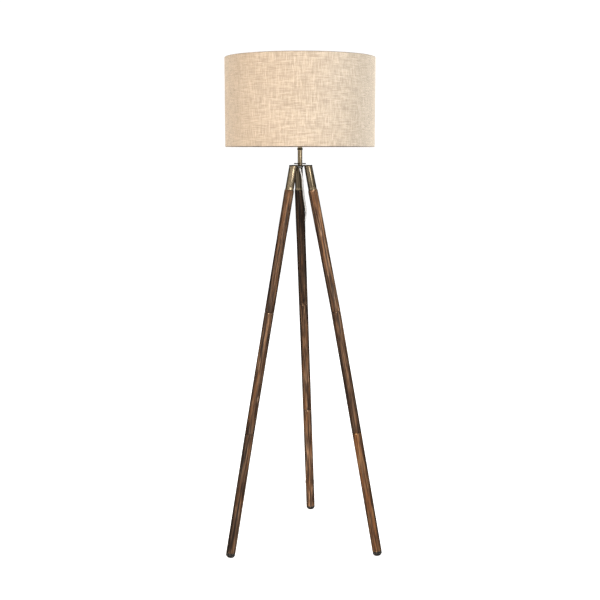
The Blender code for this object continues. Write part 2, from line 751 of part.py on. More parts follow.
def make_plug():
    """A flat two-pin plug lying on the floor, with its moulded relief towards the flex."""
    total = PLUG_RELIEF + PLUG_BODY
    stops = [total * i / 14 for i in range(15)]
    bm = bmesh.new()
    rings = []
    for along in stops:
        wide, high = plug_section(along)
        loop = []
        for k in range(16):
            turn = 2 * pi * (k + 0.5) / 16
            x = abs(cos(turn)) ** 0.5 * (1 if cos(turn) > 0 else -1)
            z = abs(sin(turn)) ** 0.5 * (1 if sin(turn) > 0 else -1)
            loop.append(bm.verts.new((HANK_X + wide * x, PLUG_Y + along, PLUG_Z + high * z)))
        rings.append(loop)
    for a, b in zip(rings, rings[1:]):
        for k in range(16):
            bm.faces.new((a[k], a[(k + 1) % 16], b[(k + 1) % 16], b[k]))
    bm.faces.new(rings[0])
    bm.faces.new(rings[-1])
    bmesh.ops.recalc_face_normals(bm, faces=bm.faces)
    mesh = bpy.data.meshes.new("plug_body")
    bm.to_mesh(mesh)
    bm.free()
    mesh.shade_smooth()
    mesh.set_sharp_from_angle(angle=radians(40))
    body = link("plug_body", mesh, "pale_plastic")
    for number, side in ((1, -1), (2, 1)):
        root = Vector((HANK_X + side * PIN_SPACING / 2, PLUG_Y + total, PLUG_Z))
        place = Matrix.Translation(root) @ Matrix.Rotation(-pi / 2, 4, "X")
        frame = new_frame(f"plug_pin_{number}_frame", place)
        pin = (
            (0, PIN_LENGTH),
            (PIN_RADIUS * 0.6, PIN_LENGTH),
            (PIN_RADIUS, PIN_LENGTH - 0.0012),
            (PIN_RADIUS, -0.0060),
            (0, -0.0060),
        )
        turned(f"plug_pin_{number}", pin, "brass", frame, segments=12)
        hole = rod_cutter(f"plug_pin_{number}_hole", PIN_RADIUS + GAP, 0.0126, frame, (0, 0, 0))
        cut(body, hole)


def make_flex():
    """The flex: up inside the stem, its free length in three stretches, and the sleeve at its exit."""
    inner_top = (STEM.x, STEM.y, HOLDER_FLANGE - 0.0030)
    start = ROUTE_TO_SWITCH[0]
    inner_end = (start[0], start[1], start[2] + 2 * GAP)
    tube("flex_inner", (inner_top, inner_end), FLEX_RADIUS, "clear_flex")
    upper = smooth_line(ROUTE_TO_SWITCH, FLEX_STEP_UPPER)
    tube("flex_upper", upper, FLEX_RADIUS, "clear_flex")
    tube("flex_lower", smooth_line(ROUTE_TO_HANK, FLEX_STEP_LOWER), FLEX_RADIUS, "clear_flex")
    tube("flex_tail", smooth_line(ROUTE_TO_PLUG, FLEX_STEP_LOWER / 2), FLEX_RADIUS, "clear_flex")
    below_stem = [upper[0].lerp(upper[1], share) for share in (0.1, 0.35, 0.65, 1.0)]
    below_stem += [upper[1].lerp(upper[2], share) for share in (0.25, 0.5, 0.75)]
    sleeve("cord_relief", below_stem, (RELIEF_TOP, RELIEF_TIP), FLEX_RADIUS + 2 * GAP, "clear_flex")


def make_lamp():
    make_shade()
    make_holder()
    make_bulb()
    make_stem()
    make_plate()
    rear = make_legs()
    for number, down in enumerate(CLIPS_DOWN, 1):
        make_clip(number, down, rear)
    make_switch(rear)
    make_flex()
    make_hank()
    make_plug()


make_lamp()
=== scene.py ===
"""The looks of a tripod floor lamp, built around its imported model: linen drum shade, antique brass
head, stained wooden legs and a clear mains flex. Metres, +Z up, in the model's own frame."""

from math import atan2, ceil, copysign, cos, pi, radians, sin, tau

import bmesh
import bpy
from mathutils import Matrix, Vector, noise


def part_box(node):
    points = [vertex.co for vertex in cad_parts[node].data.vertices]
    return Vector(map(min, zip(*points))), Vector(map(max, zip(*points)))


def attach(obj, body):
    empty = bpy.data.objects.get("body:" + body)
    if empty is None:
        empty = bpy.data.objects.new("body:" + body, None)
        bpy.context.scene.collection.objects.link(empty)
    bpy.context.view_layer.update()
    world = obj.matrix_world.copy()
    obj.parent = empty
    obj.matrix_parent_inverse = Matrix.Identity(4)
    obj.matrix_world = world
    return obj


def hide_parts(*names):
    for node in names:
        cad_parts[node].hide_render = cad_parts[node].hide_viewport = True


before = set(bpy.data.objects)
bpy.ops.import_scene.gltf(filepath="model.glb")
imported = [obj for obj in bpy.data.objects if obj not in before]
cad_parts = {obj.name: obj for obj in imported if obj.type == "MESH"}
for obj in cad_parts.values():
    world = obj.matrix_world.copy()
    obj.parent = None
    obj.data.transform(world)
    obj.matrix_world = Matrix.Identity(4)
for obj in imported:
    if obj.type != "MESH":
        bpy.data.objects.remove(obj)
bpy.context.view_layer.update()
Z_AXIS = Vector((0, 0, 1))


# The frame: where the model's own pieces are


def middle(node):
    low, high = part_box(node)
    return (low + high) / 2


def ring_size(node):
    """A round node's lowest and highest Z and its outer radius."""
    low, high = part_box(node)
    return low.z, high.z, (high.x - low.x) / 2


def local_points(node, place):
    """A CAD node's corners in that frame."""
    inverse = place.inverted()
    return [inverse @ v.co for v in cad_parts[node].data.vertices]


def local_box(node, place):
    """Lowest and highest corner of a CAD node in that frame."""
    points = local_points(node, place)
    return [Vector([pick(p[axis] for p in points) for axis in range(3)]) for pick in (min, max)]


def span(node, place):
    """Lowest and highest Z of a CAD node in that frame."""
    low, high = local_box(node, place)
    return low.z, high.z


def leg_joints(leg):
    """The middles of a leg's three studs and of its lower length, from the top down."""
    return [middle(f"{leg}_{node}") for node in ("top_stud", "upper_stud", "lower_stud", "leg_lower")]


def axis_place(origin, up):
    """A frame with Z up that direction and Y as near to the lamp's back as it can be."""
    up = up.normalized()
    back = (Vector((0, 1, 0)) - up * up.y).normalized()
    return Matrix.Translation(origin) @ Matrix((back.cross(up), back, up)).transposed().to_4x4()


def leg_places(leg):
    """Frames for a leg's three lengths, each with its origin on the axis at the length's top."""
    top, upper, lower, end = leg_joints(leg)
    place = axis_place(upper, top - upper)
    rim = span(f"{leg}_ferrule", place)[0]
    return [
        place @ Matrix.Translation((0, 0, rim)),
        axis_place(upper, upper - lower),
        axis_place(lower, lower - end),
    ]


STEM = middle("stem_tube")
AXIS = Matrix.Translation((STEM.x, STEM.y, 0))
SHADE_LOW, SHADE_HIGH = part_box("shade_cover")
SHADE_RADIUS = (SHADE_HIGH.x - SHADE_LOW.x) / 2
LEGS = {leg: leg_places(leg) for leg in ("left", "rear", "right")}
PLATE_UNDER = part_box("head_plate")[0].z


# Camera


CAMERA_DISTANCE = 3.118
CAMERA_HEIGHT = 1.235
CAMERA_PITCH = radians(8.49)
CAMERA_LENS = 61.3


def make_camera():
    data = bpy.data.cameras.new("camera")
    data.lens = CAMERA_LENS
    camera = bpy.data.objects.new("camera", data)
    camera.location = (STEM.x, STEM.y - CAMERA_DISTANCE, CAMERA_HEIGHT)
    camera.rotation_euler = (pi / 2 - CAMERA_PITCH, 0, 0)
    bpy.context.scene.collection.objects.link(camera)
    bpy.context.scene.camera = camera


# Materials


class Look:
    """One material: each method adds a node and gives back its output."""

    def __init__(self, name, offset=(0, 0, 0), **fixed):
        """Offset moves its patterns. What is fixed goes on the shader's own sockets."""
        self.material = bpy.data.materials.new(name)
        self.material.use_nodes = True
        self.tree = self.material.node_tree
        self.shader = self.tree.nodes["Principled BSDF"]
        self.offset = offset
        self.point = self.add("TexCoord", {}).outputs["Object"]
        for key, value in fixed.items():
            self.put(self.shader, key.replace("_", " ").title().replace("Ior", "IOR"), value)

    def put(self, node, key, value):
        socket = node.inputs[key]
        if isinstance(value, bpy.types.NodeSocket):
            self.tree.links.new(value, socket)
        elif socket.type == "RGBA" and len(value) == 3:
            socket.default_value = (*value, 1.0)
        else:
            socket.default_value = value

    def add(self, kind, inputs, **settings):
        node = self.tree.nodes.new(f"ShaderNode{kind}")
        for key, value in settings.items():
            setattr(node, key, value)
        for key, value in inputs.items():
            self.put(node, key, value)
        return node

    def stretched(self, scale, moved, point=None):
        """The point on the piece, in its own frame, scaled to a pattern's size and moved in it."""
        scale = scale if isinstance(scale, tuple) else (scale, scale, scale)
        location = tuple(a + b for a, b in zip(self.offset, moved))
        inputs = {"Vector": self.point if point is None else point, "Scale": scale, "Location": location}
        return self.add("Mapping", inputs).outputs[0]

    def grain(self, scale, detail=2.0, roughness=0.55, distortion=0.0, moved=(0, 0, 0), point=None):
        inputs = {"Vector": self.stretched(scale, moved, point), "Scale": 1.0, "Detail": detail}
        inputs |= {"Roughness": roughness, "Distortion": distortion}
        return self.add("TexNoise", inputs).outputs[0]

    def spots(self, scale, moved=(0, 0, 0)):
        """How far the nearest of many scattered spots is, in the pattern's size."""
        return self.add("TexVoronoi", {"Vector": self.stretched(scale, moved), "Scale": 1.0}).outputs[0]

    def math(self, operation, a, b=0.0):
        return self.add("Math", {0: a, 1: b}, operation=operation).outputs[0]

    def vector(self, operation, a, b=(0, 0, 0)):
        node = self.add("VectorMath", {0: a, 1: b}, operation=operation)
        return node.outputs["Value" if operation == "DOT_PRODUCT" else "Vector"]

    def part(self, point, axis):
        return self.add("SeparateXYZ", {0: point}).outputs[axis]

    def ranged(self, value, low, high, to_low=0.0, to_high=1.0):
        inputs = {0: value, 1: low, 2: high, 3: to_low, 4: to_high}
        return self.add("MapRange", inputs).outputs[0]

    def ramp(self, value, *stops):
        node = self.add("ValToRGB", {0: value})
        points = node.color_ramp.elements
        while len(points) < len(stops):
            points.new(0.5)
        for point, (position, colour) in zip(points, stops):
            point.position = position
            point.color = (*colour, 1.0)
        return node.outputs[0]

    def mix(self, share, a, b, blend="MIX"):
        node = self.add("Mix", {0: share, 6: a, 7: b}, data_type="RGBA", blend_type=blend)
        return node.outputs[2]

    def tint(self, colour, tone, value, none, full, share):
        """The colour under a tone: none of it at the first value, that share of it at the second."""
        return self.mix(self.ranged(value, none, full, 0.0, share), colour, tone)

    def done(self, colour, height, depth, strength, rough=None):
        """The material with that colour and bump, and with that roughness where it varies."""
        bump = self.add("Bump", {"Height": height, "Distance": depth, "Strength": strength})
        self.put(self.shader, "Base Color", colour)
        self.put(self.shader, "Normal", bump.outputs[0])
        if rough is not None:
            self.put(self.shader, "Roughness", rough)
        return self.material


def times(colour, *factors):
    """A colour times one factor, or times one for each channel."""
    factors = factors * 3 if len(factors) == 1 else factors
    return tuple(c * factor for c, factor in zip(colour, factors))


WEAVE_PITCH = 0.0011
WEAVE_DRIFT = 9.0
LINEN_DARK = (0.418, 0.350, 0.271)
LINEN_PALE = (0.476, 0.412, 0.336)
LINEN_SHEEN = (1.0, 0.89, 0.74)


def linen(name="linen_cloth", shade=1.0):
    """Plain-woven natural linen: thick and thin threads both ways, with short slubs and flecks."""
    look = Look(
        name, roughness=0.92, sheen_weight=0.85, sheen_roughness=0.45, sheen_tint=LINEN_SHEEN,
        specular_ior_level=0.10,
    )
    x, y, height = (look.part(look.point, axis) for axis in range(3))

    def threads(along, count, drift_scale):
        """Waves across parallel threads that drift a little."""
        drift = look.math("MULTIPLY", look.grain(drift_scale), WEAVE_DRIFT)
        return look.math("SINE", look.math("ADD", look.math("MULTIPLY", along, count), drift))

    warp = threads(look.math("ARCTAN2", y, x), round(tau * SHADE_RADIUS / WEAVE_PITCH), (90, 90, 5))
    weft = threads(height, tau / WEAVE_PITCH, (5, 5, 90))
    cross = look.math("MULTIPLY", warp, weft)
    slub_up = look.grain((430, 430, 42), roughness=0.5, moved=(3, 1, 0))
    slub_round = look.grain((34, 34, 430), roughness=0.5, moved=(7, 2, 5))
    dark, pale = times(LINEN_DARK, shade), times(LINEN_PALE, shade)
    thin, gap, thick = times(dark, 0.62), times(dark, 0.62 * 0.8), times(pale, 1.28)
    colour = look.ramp(look.grain(5, detail=1.0), (0.2, dark), (0.8, pale))
    for tone, value, none, full, share in (
        (thin, slub_up, 0.52, 0.28, 0.62),
        (thin, slub_round, 0.52, 0.28, 0.62),
        (thick, look.math("MAXIMUM", slub_up, slub_round), 0.56, 0.74, 0.75),
        (gap, look.grain(420, roughness=0.6), 0.60, 0.76, 0.5),
        (gap, cross, 0.2, -1.0, 0.28),
    ):
        colour = look.tint(colour, tone, value, none, full, share)
    raised = look.math("ADD", look.math("MULTIPLY", cross, 0.35), look.math("ADD", slub_up, slub_round))
    return look.done(colour, raised, 0.0005, 0.6)


def liner_film():
    look = Look("liner_film", specular_ior_level=0.4)
    cloud = look.grain(25, detail=3.0)
    colour = look.ramp(cloud, (0.3, (0.80, 0.79, 0.75)), (0.7, (0.88, 0.87, 0.84)))
    return look.done(colour, look.grain(300), 0.0002, 0.3, look.ranged(cloud, 0.3, 0.7, 0.36, 0.5))


# Painted light and shade round each leg: the wood's lightness at its sides, where it is painted shade, and on
# its lit side and opposite it, where it is painted light.
PAINTED_SIDE_SHADE = 0.34
PAINTED_FACE_LIGHT = 1.14
WORN_END = 0.0022
SEAM_LINE = 0.0014
CHIPS_FROM = 0.001
CHIPS_TO = 0.007
DARK_TONES = ((0.011, 0.005, 0.003), (0.045, 0.022, 0.010), (0.104, 0.052, 0.024), (0.28, 0.165, 0.092))
AMBER_TONES = ((0.018, 0.007, 0.002), (0.070, 0.028, 0.010), (0.140, 0.062, 0.022), (0.31, 0.17, 0.070))


def wood(name, seed, tones, low, high, stain_and_shade, lit_side):
    """Streaky stained softwood along the piece's Z, worn paler at both ends of the length. The pair
    of lightnesses is how light it is at the low and the high end: its own tone, with painted shade
    that darkens the rear leg towards the head. Painted shade also darkens its sides, and painted
    light makes it paler on the lit side and opposite it; that side is an angle from the front
    towards the right."""
    look = Look(name, (seed * 3.7, seed * 1.9, seed * 0.61), specular_ior_level=0.18)
    sway = look.grain((9, 9, 5))
    shift = {0: look.math("MULTIPLY", sway, 0.012), 1: look.math("MULTIPLY", sway, -0.009)}
    swayed = look.vector("ADD", look.point, look.add("CombineXYZ", shift).outputs[0])
    rings = look.grain((190, 190, 4.0), 5.0, 0.62, 0.4, point=swayed)
    streaks = look.grain((290, 290, 13), 3.0, 0.6, point=swayed)
    fibres = look.grain((1300, 1300, 22), 3.0, 0.6)
    pores = look.grain((2200, 2200, 70), 2.0, 0.5)
    darkest, deep, mid, pale = tones
    reddish, sooty = times(mid, 1.75, 1.45, 1.0), times(mid, 0.5, 0.85, 1.5)
    colour = look.ramp(rings, (0.34, darkest), (0.45, deep), (0.55, mid), (0.70, pale))
    for tone, value, none, full, share in (
        (mid, look.grain((40, 40, 12)), 0.35, 0.7, 0.4),
        (reddish, look.grain((110, 110, 9), moved=(5, 0, 0)), 0.50, 0.62, 0.8),
        (sooty, look.grain((110, 110, 9), moved=(0, 9, 0)), 0.54, 0.66, 0.6),
        (darkest, streaks, 0.50, 0.38, 0.92),
        (pale, streaks, 0.54, 0.66, 0.85),
        (deep, fibres, 0.35, 0.65, 0.35),
        (darkest, pores, 0.42, 0.30, 0.6),
        (darkest, look.spots((30, 30, 5.5)), 0.16, 0.05, 0.8),
        (times(pale, 1.2, 1.3, 1.5), look.spots((45, 45, 9), (2, 4, 1)), 0.12, 0.05, 0.8),
    ):
        colour = look.tint(colour, tone, value, none, full, share)
    level = look.part(look.point, 2)

    def near_ends(start, stop, share=1.0):
        """That share at both ends, down to none further in."""
        below = look.ranged(level, low + start, low + stop, share, 0.0)
        above = look.ranged(level, high - stop, high - start, 0.0, share)
        return look.math("MAXIMUM", below, above)

    worn = look.math("MULTIPLY", near_ends(0.0, WORN_END), look.ranged(fibres, 0.4, 0.6, 0.0, 0.45))
    colour = look.mix(worn, colour, pale)
    colour = look.mix(near_ends(0.0, SEAM_LINE, 0.9), colour, darkest)
    chips = look.ranged(look.spots(130), 0.20, 0.34, 0.9, 0.0)
    chips = look.math("MULTIPLY", near_ends(CHIPS_FROM, CHIPS_TO), chips)
    colour = look.mix(chips, colour, times(pale, 1.9, 2.1, 2.3))
    # Painted shade at the leg's sides, and painted light on the lit side and opposite it.
    across = look.add("CombineXYZ", {0: look.part(look.point, 0), 1: look.part(look.point, 1)}).outputs[0]
    side = (sin(radians(lit_side)), -cos(radians(lit_side)), 0.0)
    squarely = look.vector("DOT_PRODUCT", look.vector("NORMALIZE", across), side)
    painted_light_and_shade = look.ranged(look.math("MULTIPLY", squarely, squarely), 0.0, 1.0, PAINTED_SIDE_SHADE, PAINTED_FACE_LIGHT)
    # Lightness along the length: the wood's own tone, with painted shade that darkens the rear leg towards
    # the head.
    lightness = look.math("MULTIPLY", look.ranged(level, low, high, *stain_and_shade), painted_light_and_shade)
    grey = look.add("CombineColor", {0: lightness, 1: lightness, 2: lightness}).outputs[0]
    colour = look.mix(1.0, colour, grey, "MULTIPLY")
    height = look.math("ADD", look.math("MULTIPLY", rings, 0.6), look.math("MULTIPLY", fibres, 0.5))
    height = look.math("ADD", height, look.math("MULTIPLY", pores, 0.25))
    return look.done(colour, height, 0.0006, 0.45, look.ranged(rings, 0.3, 0.7, 0.62, 0.50))


BRUSHED = (1100, 1100, 14)
BRASS_DARK = (0.235, 0.178, 0.108)
BRASS_PALE = (0.48, 0.392, 0.268)
BRASS_BROWN = (0.19, 0.145, 0.082)
BRASS_TARNISH = (0.10, 0.074, 0.042)
BRASS_DARK_REFLECTION = (0.035, 0.026, 0.014)


def brass(name, seed=0.0, brushed=BRUSHED, light=1.0, dark_reflections=0.0):
    """Antiqued brass, brushed along the piece and darker where it is tarnished. Light makes a
    lighter or darker copy of it, which is painted light and shade on the ferrules, collar and
    disc, and the last setting lays dark streaks of painted reflection over it.
    """
    look = Look(name, (seed, seed * 2.3, seed * 0.7), metallic=1.0)
    lines = look.grain(brushed, 3.0, 0.6)
    tarnish = look.grain((60, 60, 45), 4.0, 0.65)
    colour = look.ramp(lines, (0.25, times(BRASS_DARK, light)), (0.75, times(BRASS_PALE, light)))
    colour = look.tint(colour, times(BRASS_BROWN, light), look.grain((120, 120, 9)), 0.4, 0.65, 0.45)
    colour = look.tint(colour, times(BRASS_TARNISH, min(light, 1.0)), tarnish, 0.56, 0.75, 0.6)
    # Painted reflection: dark streaks along the piece.
    if dark_reflections:
        colour = look.tint(colour, BRASS_DARK_REFLECTION, look.grain((230, 230, 6)), 0.56, 0.42, dark_reflections)
    return look.done(colour, lines, 0.0002, 0.5, look.ranged(tarnish, 0.3, 0.75, 0.25, 0.47))


def steel():
    look = Look("zinc_steel", metallic=1.0)
    crystals = look.grain(260, detail=3.0)
    colour = look.ramp(crystals, (0.3, (0.42, 0.42, 0.43)), (0.7, (0.62, 0.62, 0.61)))
    return look.done(colour, crystals, 0.0002, 0.3, look.ranged(crystals, 0.3, 0.7, 0.28, 0.46))


def speckled(name, dark, pale, scale, rough, depth=0.0002):
    """A plain surface with a fine uneven grain, such as moulded plastic, rubber, glaze or enamel."""
    look = Look(name)
    grain = look.grain(scale, 3.0, 0.6)
    colour = look.ramp(look.grain(30), (0.3, dark), (0.7, pale))
    return look.done(colour, grain, depth, 0.4, look.ranged(grain, 0.3, 0.7, *rough))


def foot_rubber():
    """Near-black rubber with a few pale scuffs."""
    look = Look("foot_rubber", specular_ior_level=0.25)
    grain = look.grain(1500, 3.0, 0.6)
    colour = look.ramp(grain, (0.3, (0.006, 0.0055, 0.005)), (0.7, (0.016, 0.015, 0.014)))
    colour = look.tint(colour, (0.26, 0.23, 0.19), look.spots((150, 150, 260)), 0.26, 0.14, 0.75)
    return look.done(colour, grain, 0.0002, 0.4, look.ranged(grain, 0.3, 0.7, 0.62, 0.85))


STRANDS = 9.0
STRAND_TWIST = 900.0


def clear_flex(name="clear_flex", shown=(0.64, 0.92), painted_edge_shade=(0.070, 0.066, 0.062)):
    """A clear flex: the two pale stranded cores side by side show through it down its middle, and
    its sides to left and right are painted dark as shade. Shown is how squarely it must face the
    front or back, from where the painted shade ends to where the cores are bare."""
    look = Look(name, roughness=0.16, coat_weight=0.5, coat_roughness=0.08)
    along = look.add("UVMap", {}, uv_map="along").outputs["UV"]
    turn = look.math("MULTIPLY", look.part(along, 1), tau)
    facing = look.math("ABSOLUTE", look.math("COSINE", turn))
    twist = look.math("MULTIPLY", look.part(along, 0), STRAND_TWIST)
    strands = look.math("SINE", look.math("ADD", look.math("MULTIPLY", turn, STRANDS), twist))
    cores = look.tint((0.84, 0.83, 0.81), (0.66, 0.64, 0.61), strands, -1.0, 1.0, 0.35)
    # Painted shade: dark at the flex's sides, with the pale cores only where it faces front or back.
    colour = look.mix(look.ranged(facing, *shown), painted_edge_shade, cores)
    cloud = look.grain(220)
    colour = look.tint(colour, (0.40, 0.39, 0.37), cloud, 0.35, 0.65, 0.2)
    return look.done(colour, cloud, 0.0002, 0.25)


def floor_paint():
    glow = {"emission_color": (1, 1, 1), "emission_strength": 0.75}
    look = Look("studio_floor", roughness=0.85, specular_ior_level=0.1, **glow)
    colour = look.ramp(look.grain(2.5, detail=3.0), (0.2, (0.88,) * 3), (0.8, (0.90,) * 3))
    look.put(look.shader, "Base Color", colour)
    return look.material


RECIPES = {
    "linen": (linen,),
    # Painted shade: these copies darken the linen, nearly black for the bottom hem and greyer for the top
    # rim.
    "linen_hem": (linen, "linen_hem", 0.07),
    "linen_rim": (linen, "linen_rim", 0.45),
    "liner": (liner_film,),
    # Copies of one brass: the collar and disc copy is painted shade with dark streaks of painted reflection;
    # the plate's copy is darker still.
    "brass": (brass, "antique_brass", 0.0, BRUSHED, 1.15),
    "brass_turned": (brass, "turned_brass", 4.0, (40, 40, 1400)),
    "brass_dark": (brass, "dark_brass", 9.0, (500, 500, 500), 0.10),
    "brass_deep": (brass, "deep_brass", 6.0, (60, 60, 900), 0.20, 0.60),
    "pin": (brass, "plug_brass", 2.0, (60, 60, 60), 1.7),
    "steel": (steel,),
    "rubber": (foot_rubber,),
    "flex": (clear_flex,),
    # The relief's copy: painted shade over more of its sides, and darker.
    "relief": (clear_flex, "clear_relief", (0.80, 0.97), (0.016, 0.015, 0.014)),
    "wire": (speckled, "white_enamel", (0.74, 0.74, 0.72), (0.80, 0.80, 0.78), 700, (0.35, 0.5)),
    "ceramic": (speckled, "glazed_ceramic", (0.76, 0.75, 0.71), (0.82, 0.81, 0.77), 500, (0.16, 0.28)),
    "opal": (speckled, "opal_glass", (0.86, 0.86, 0.84), (0.90, 0.90, 0.88), 90, (0.14, 0.2), 0.0001),
    "tie": (speckled, "tie_rubber", (0.012, 0.012, 0.012), (0.030, 0.030, 0.030), 1800, (0.5, 0.8)),
    "clip": (speckled, "clear_clip", (0.58, 0.57, 0.54), (0.70, 0.69, 0.66), 900, (0.18, 0.3)),
    "plastic": (speckled, "pale_plastic", (0.70, 0.69, 0.66), (0.76, 0.75, 0.72), 2400, (0.36, 0.52)),
    "pin_sleeve": (speckled, "pin_sleeve", (0.03, 0.03, 0.03), (0.05, 0.05, 0.05), 1500, (0.35, 0.5)),
}
MATERIALS = {}


def material(name):
    """The material of that name, made when it is first wanted."""
    if name not in MATERIALS:
        maker, *settings = RECIPES[name]
        MATERIALS[name] = maker(*settings)
    return MATERIALS[name]


# Mesh building


def new_object(name, bm):
    """An object in the scene that has that mesh."""
    mesh = bpy.data.meshes.new(name)
    bm.to_mesh(mesh)
    bm.free()
    made = bpy.data.objects.new(name, mesh)
    bpy.context.scene.collection.objects.link(made)
    return made


def smoothed(mesh, sharp):
    mesh.shade_smooth()
    mesh.set_sharp_from_angle(angle=radians(sharp))


def finished(bm, name, looks, nodes, place=None, body="root", sharp=40):
    """The mesh as a piece that rides on a body and stands for one CAD node or several."""
    bmesh.ops.recalc_face_normals(bm, faces=bm.faces)
    piece = new_object(name, bm)
    smoothed(piece.data, sharp)
    for look in looks if isinstance(looks, tuple) else (looks,):
        piece.data.materials.append(material(look) if isinstance(look, str) else look)
    if place:
        piece.matrix_world = place
    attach(piece, body)
    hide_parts(*(nodes if isinstance(nodes, tuple) else (nodes,)))
    return piece


def heading(line, i, closed=False):
    """The direction of a line at one of its points."""
    if closed:
        return (line[(i + 1) % len(line)] - line[i - 1]).normalized()
    return (line[min(i + 1, len(line) - 1)] - line[max(i - 1, 0)]).normalized()


def soften(corners, closed=False, steps=4):
    """A profile with rounded corners. A corner is (radius, height) or (radius, height, rounding)."""
    points = []
    for i, corner in enumerate(corners):
        here = Vector(corner[:2])
        at_end = not closed and i in (0, len(corners) - 1)
        if at_end or len(corner) == 2:
            points.append(here)
            continue
        before = Vector(corners[i - 1][:2]) - here
        after = Vector(corners[(i + 1) % len(corners)][:2]) - here
        reach = min(corner[2], before.length * 0.49, after.length * 0.49)
        start, end = here + before.normalized() * reach, here + after.normalized() * reach
        for k in range(steps + 1):
            t = k / steps
            points.append(start * (1 - t) ** 2 + here * 2 * t * (1 - t) + end * t * t)
    return points


def lathe(profile, turns=64, wobble=None):
    """A turned mesh. It closes on the axis where the profile does, and else on itself."""
    angles = [tau * k / turns for k in range(turns)] if isinstance(turns, int) else turns
    bm = bmesh.new()
    rings = []
    for radius, height in profile:
        if radius < 1e-6:
            rings.append([bm.verts.new((0, 0, height))])
            continue
        ring = []
        for angle in angles:
            r, z = wobble(radius, height, angle) if wobble else (radius, height)
            ring.append(bm.verts.new((r * cos(angle), r * sin(angle), z)))
        rings.append(ring)
    loop = rings if profile[0][0] < 1e-6 else rings + rings[:1]
    for a, b in zip(loop, loop[1:]):
        for k in range(len(angles)):
            n = (k + 1) % len(angles)
            corners = [a[k % len(a)], a[n % len(a)], b[n % len(b)], b[k % len(b)]]
            corners = list(dict.fromkeys(corners))
            if len(corners) > 2:
                bm.faces.new(corners)
    return bm


def turned(profile, name, look, node, body="root", turns=64, wobble=None, sharp=40):
    """A piece turned on the stem's axis, from a closed profile with rounded corners."""
    bm = lathe(soften(profile, True), turns, wobble)
    return finished(bm, name, look, node, AXIS, body, sharp)


def loft(sections, closed=False):
    """A closed mesh through cross-sections with the same number of points each."""
    bm = bmesh.new()
    rings = [[bm.verts.new(p) for p in section] for section in sections]
    pairs = list(zip(rings, rings[1:])) + ([(rings[-1], rings[0])] if closed else [])
    for a, b in pairs:
        for k in range(len(a)):
            n = (k + 1) % len(a)
            bm.faces.new((a[k], a[n], b[n], b[k]))
    if not closed:
        bm.faces.new(rings[0])
        bm.faces.new(rings[-1])
    return bm


def drawn_in(outline, inset):
    """A closed anticlockwise outline, moved inwards all round."""
    points = [Vector(p) for p in outline]
    sides = [heading(points, i, True) for i in range(len(points))]
    return [point - Vector((side.y, -side.x)) * inset for point, side in zip(points, sides)]


def squarish(half_wide, half_high, power, count):
    """The points of a rounded oblong, squarer for a lower power."""
    points = []
    for k in range(count):
        turn = tau * (k + 0.5) / count
        x, y = (copysign(abs(part) ** power, part) for part in (cos(turn), sin(turn)))
        points.append((x * half_wide, y * half_high))
    return points


def rounded_box(size, rounding, centre_y):
    bm = bmesh.new()
    bmesh.ops.create_cube(bm, size=1.0)
    bmesh.ops.scale(bm, vec=size, verts=bm.verts)
    bmesh.ops.bevel(bm, geom=bm.edges, offset=rounding, segments=3, profile=0.5, affect="EDGES")
    bmesh.ops.translate(bm, vec=(0, centre_y, 0), verts=bm.verts)
    return bm


def carve(piece, *cutters):
    """Cuts the piece with closed meshes that are in its own frame."""
    for bm in cutters:
        bmesh.ops.recalc_face_normals(bm, faces=bm.faces)
        tool = new_object("cutter", bm)
        bpy.context.view_layer.update()
        tool.matrix_world = piece.matrix_world
        modifier = piece.modifiers.new("cut", "BOOLEAN")
        modifier.solver = "EXACT"
        modifier.object = tool
        bpy.context.view_layer.update()
        evaluated = piece.evaluated_get(bpy.context.evaluated_depsgraph_get())
        cut = bpy.data.meshes.new_from_object(evaluated)
        piece.modifiers.clear()
        piece.data = cut
        bpy.data.objects.remove(tool)
        smoothed(cut, 40)


def smooth_line(route, step):
    """Points about a step apart on a smooth curve through the route's own points."""
    points = [Vector(p) for p in route]
    points = [2 * points[0] - points[1], *points, 2 * points[-1] - points[-2]]
    fine = []
    for a, b, c, d in zip(points, points[1:], points[2:], points[3:]):
        for i in range(8):
            t = i / 8
            slope = (c - a) * t
            bend = (2 * a - 5 * b + 4 * c - d) * t**2
            twist = (3 * b - a - 3 * c + d) * t**3
            fine.append(b + (slope + bend + twist) / 2)
    fine.append(points[-2])
    lengths = [0.0]
    for a, b in zip(fine, fine[1:]):
        lengths.append(lengths[-1] + (b - a).length)
    count = ceil(lengths[-1] / step)
    line = []
    at = 0
    for i in range(count + 1):
        wanted = lengths[-1] * i / count
        while at < len(fine) - 2 and lengths[at + 1] < wanted:
            at += 1
        share = (wanted - lengths[at]) / (lengths[at + 1] - lengths[at])
        line.append(fine[at].lerp(fine[at + 1], min(share, 1.0)))
    return line


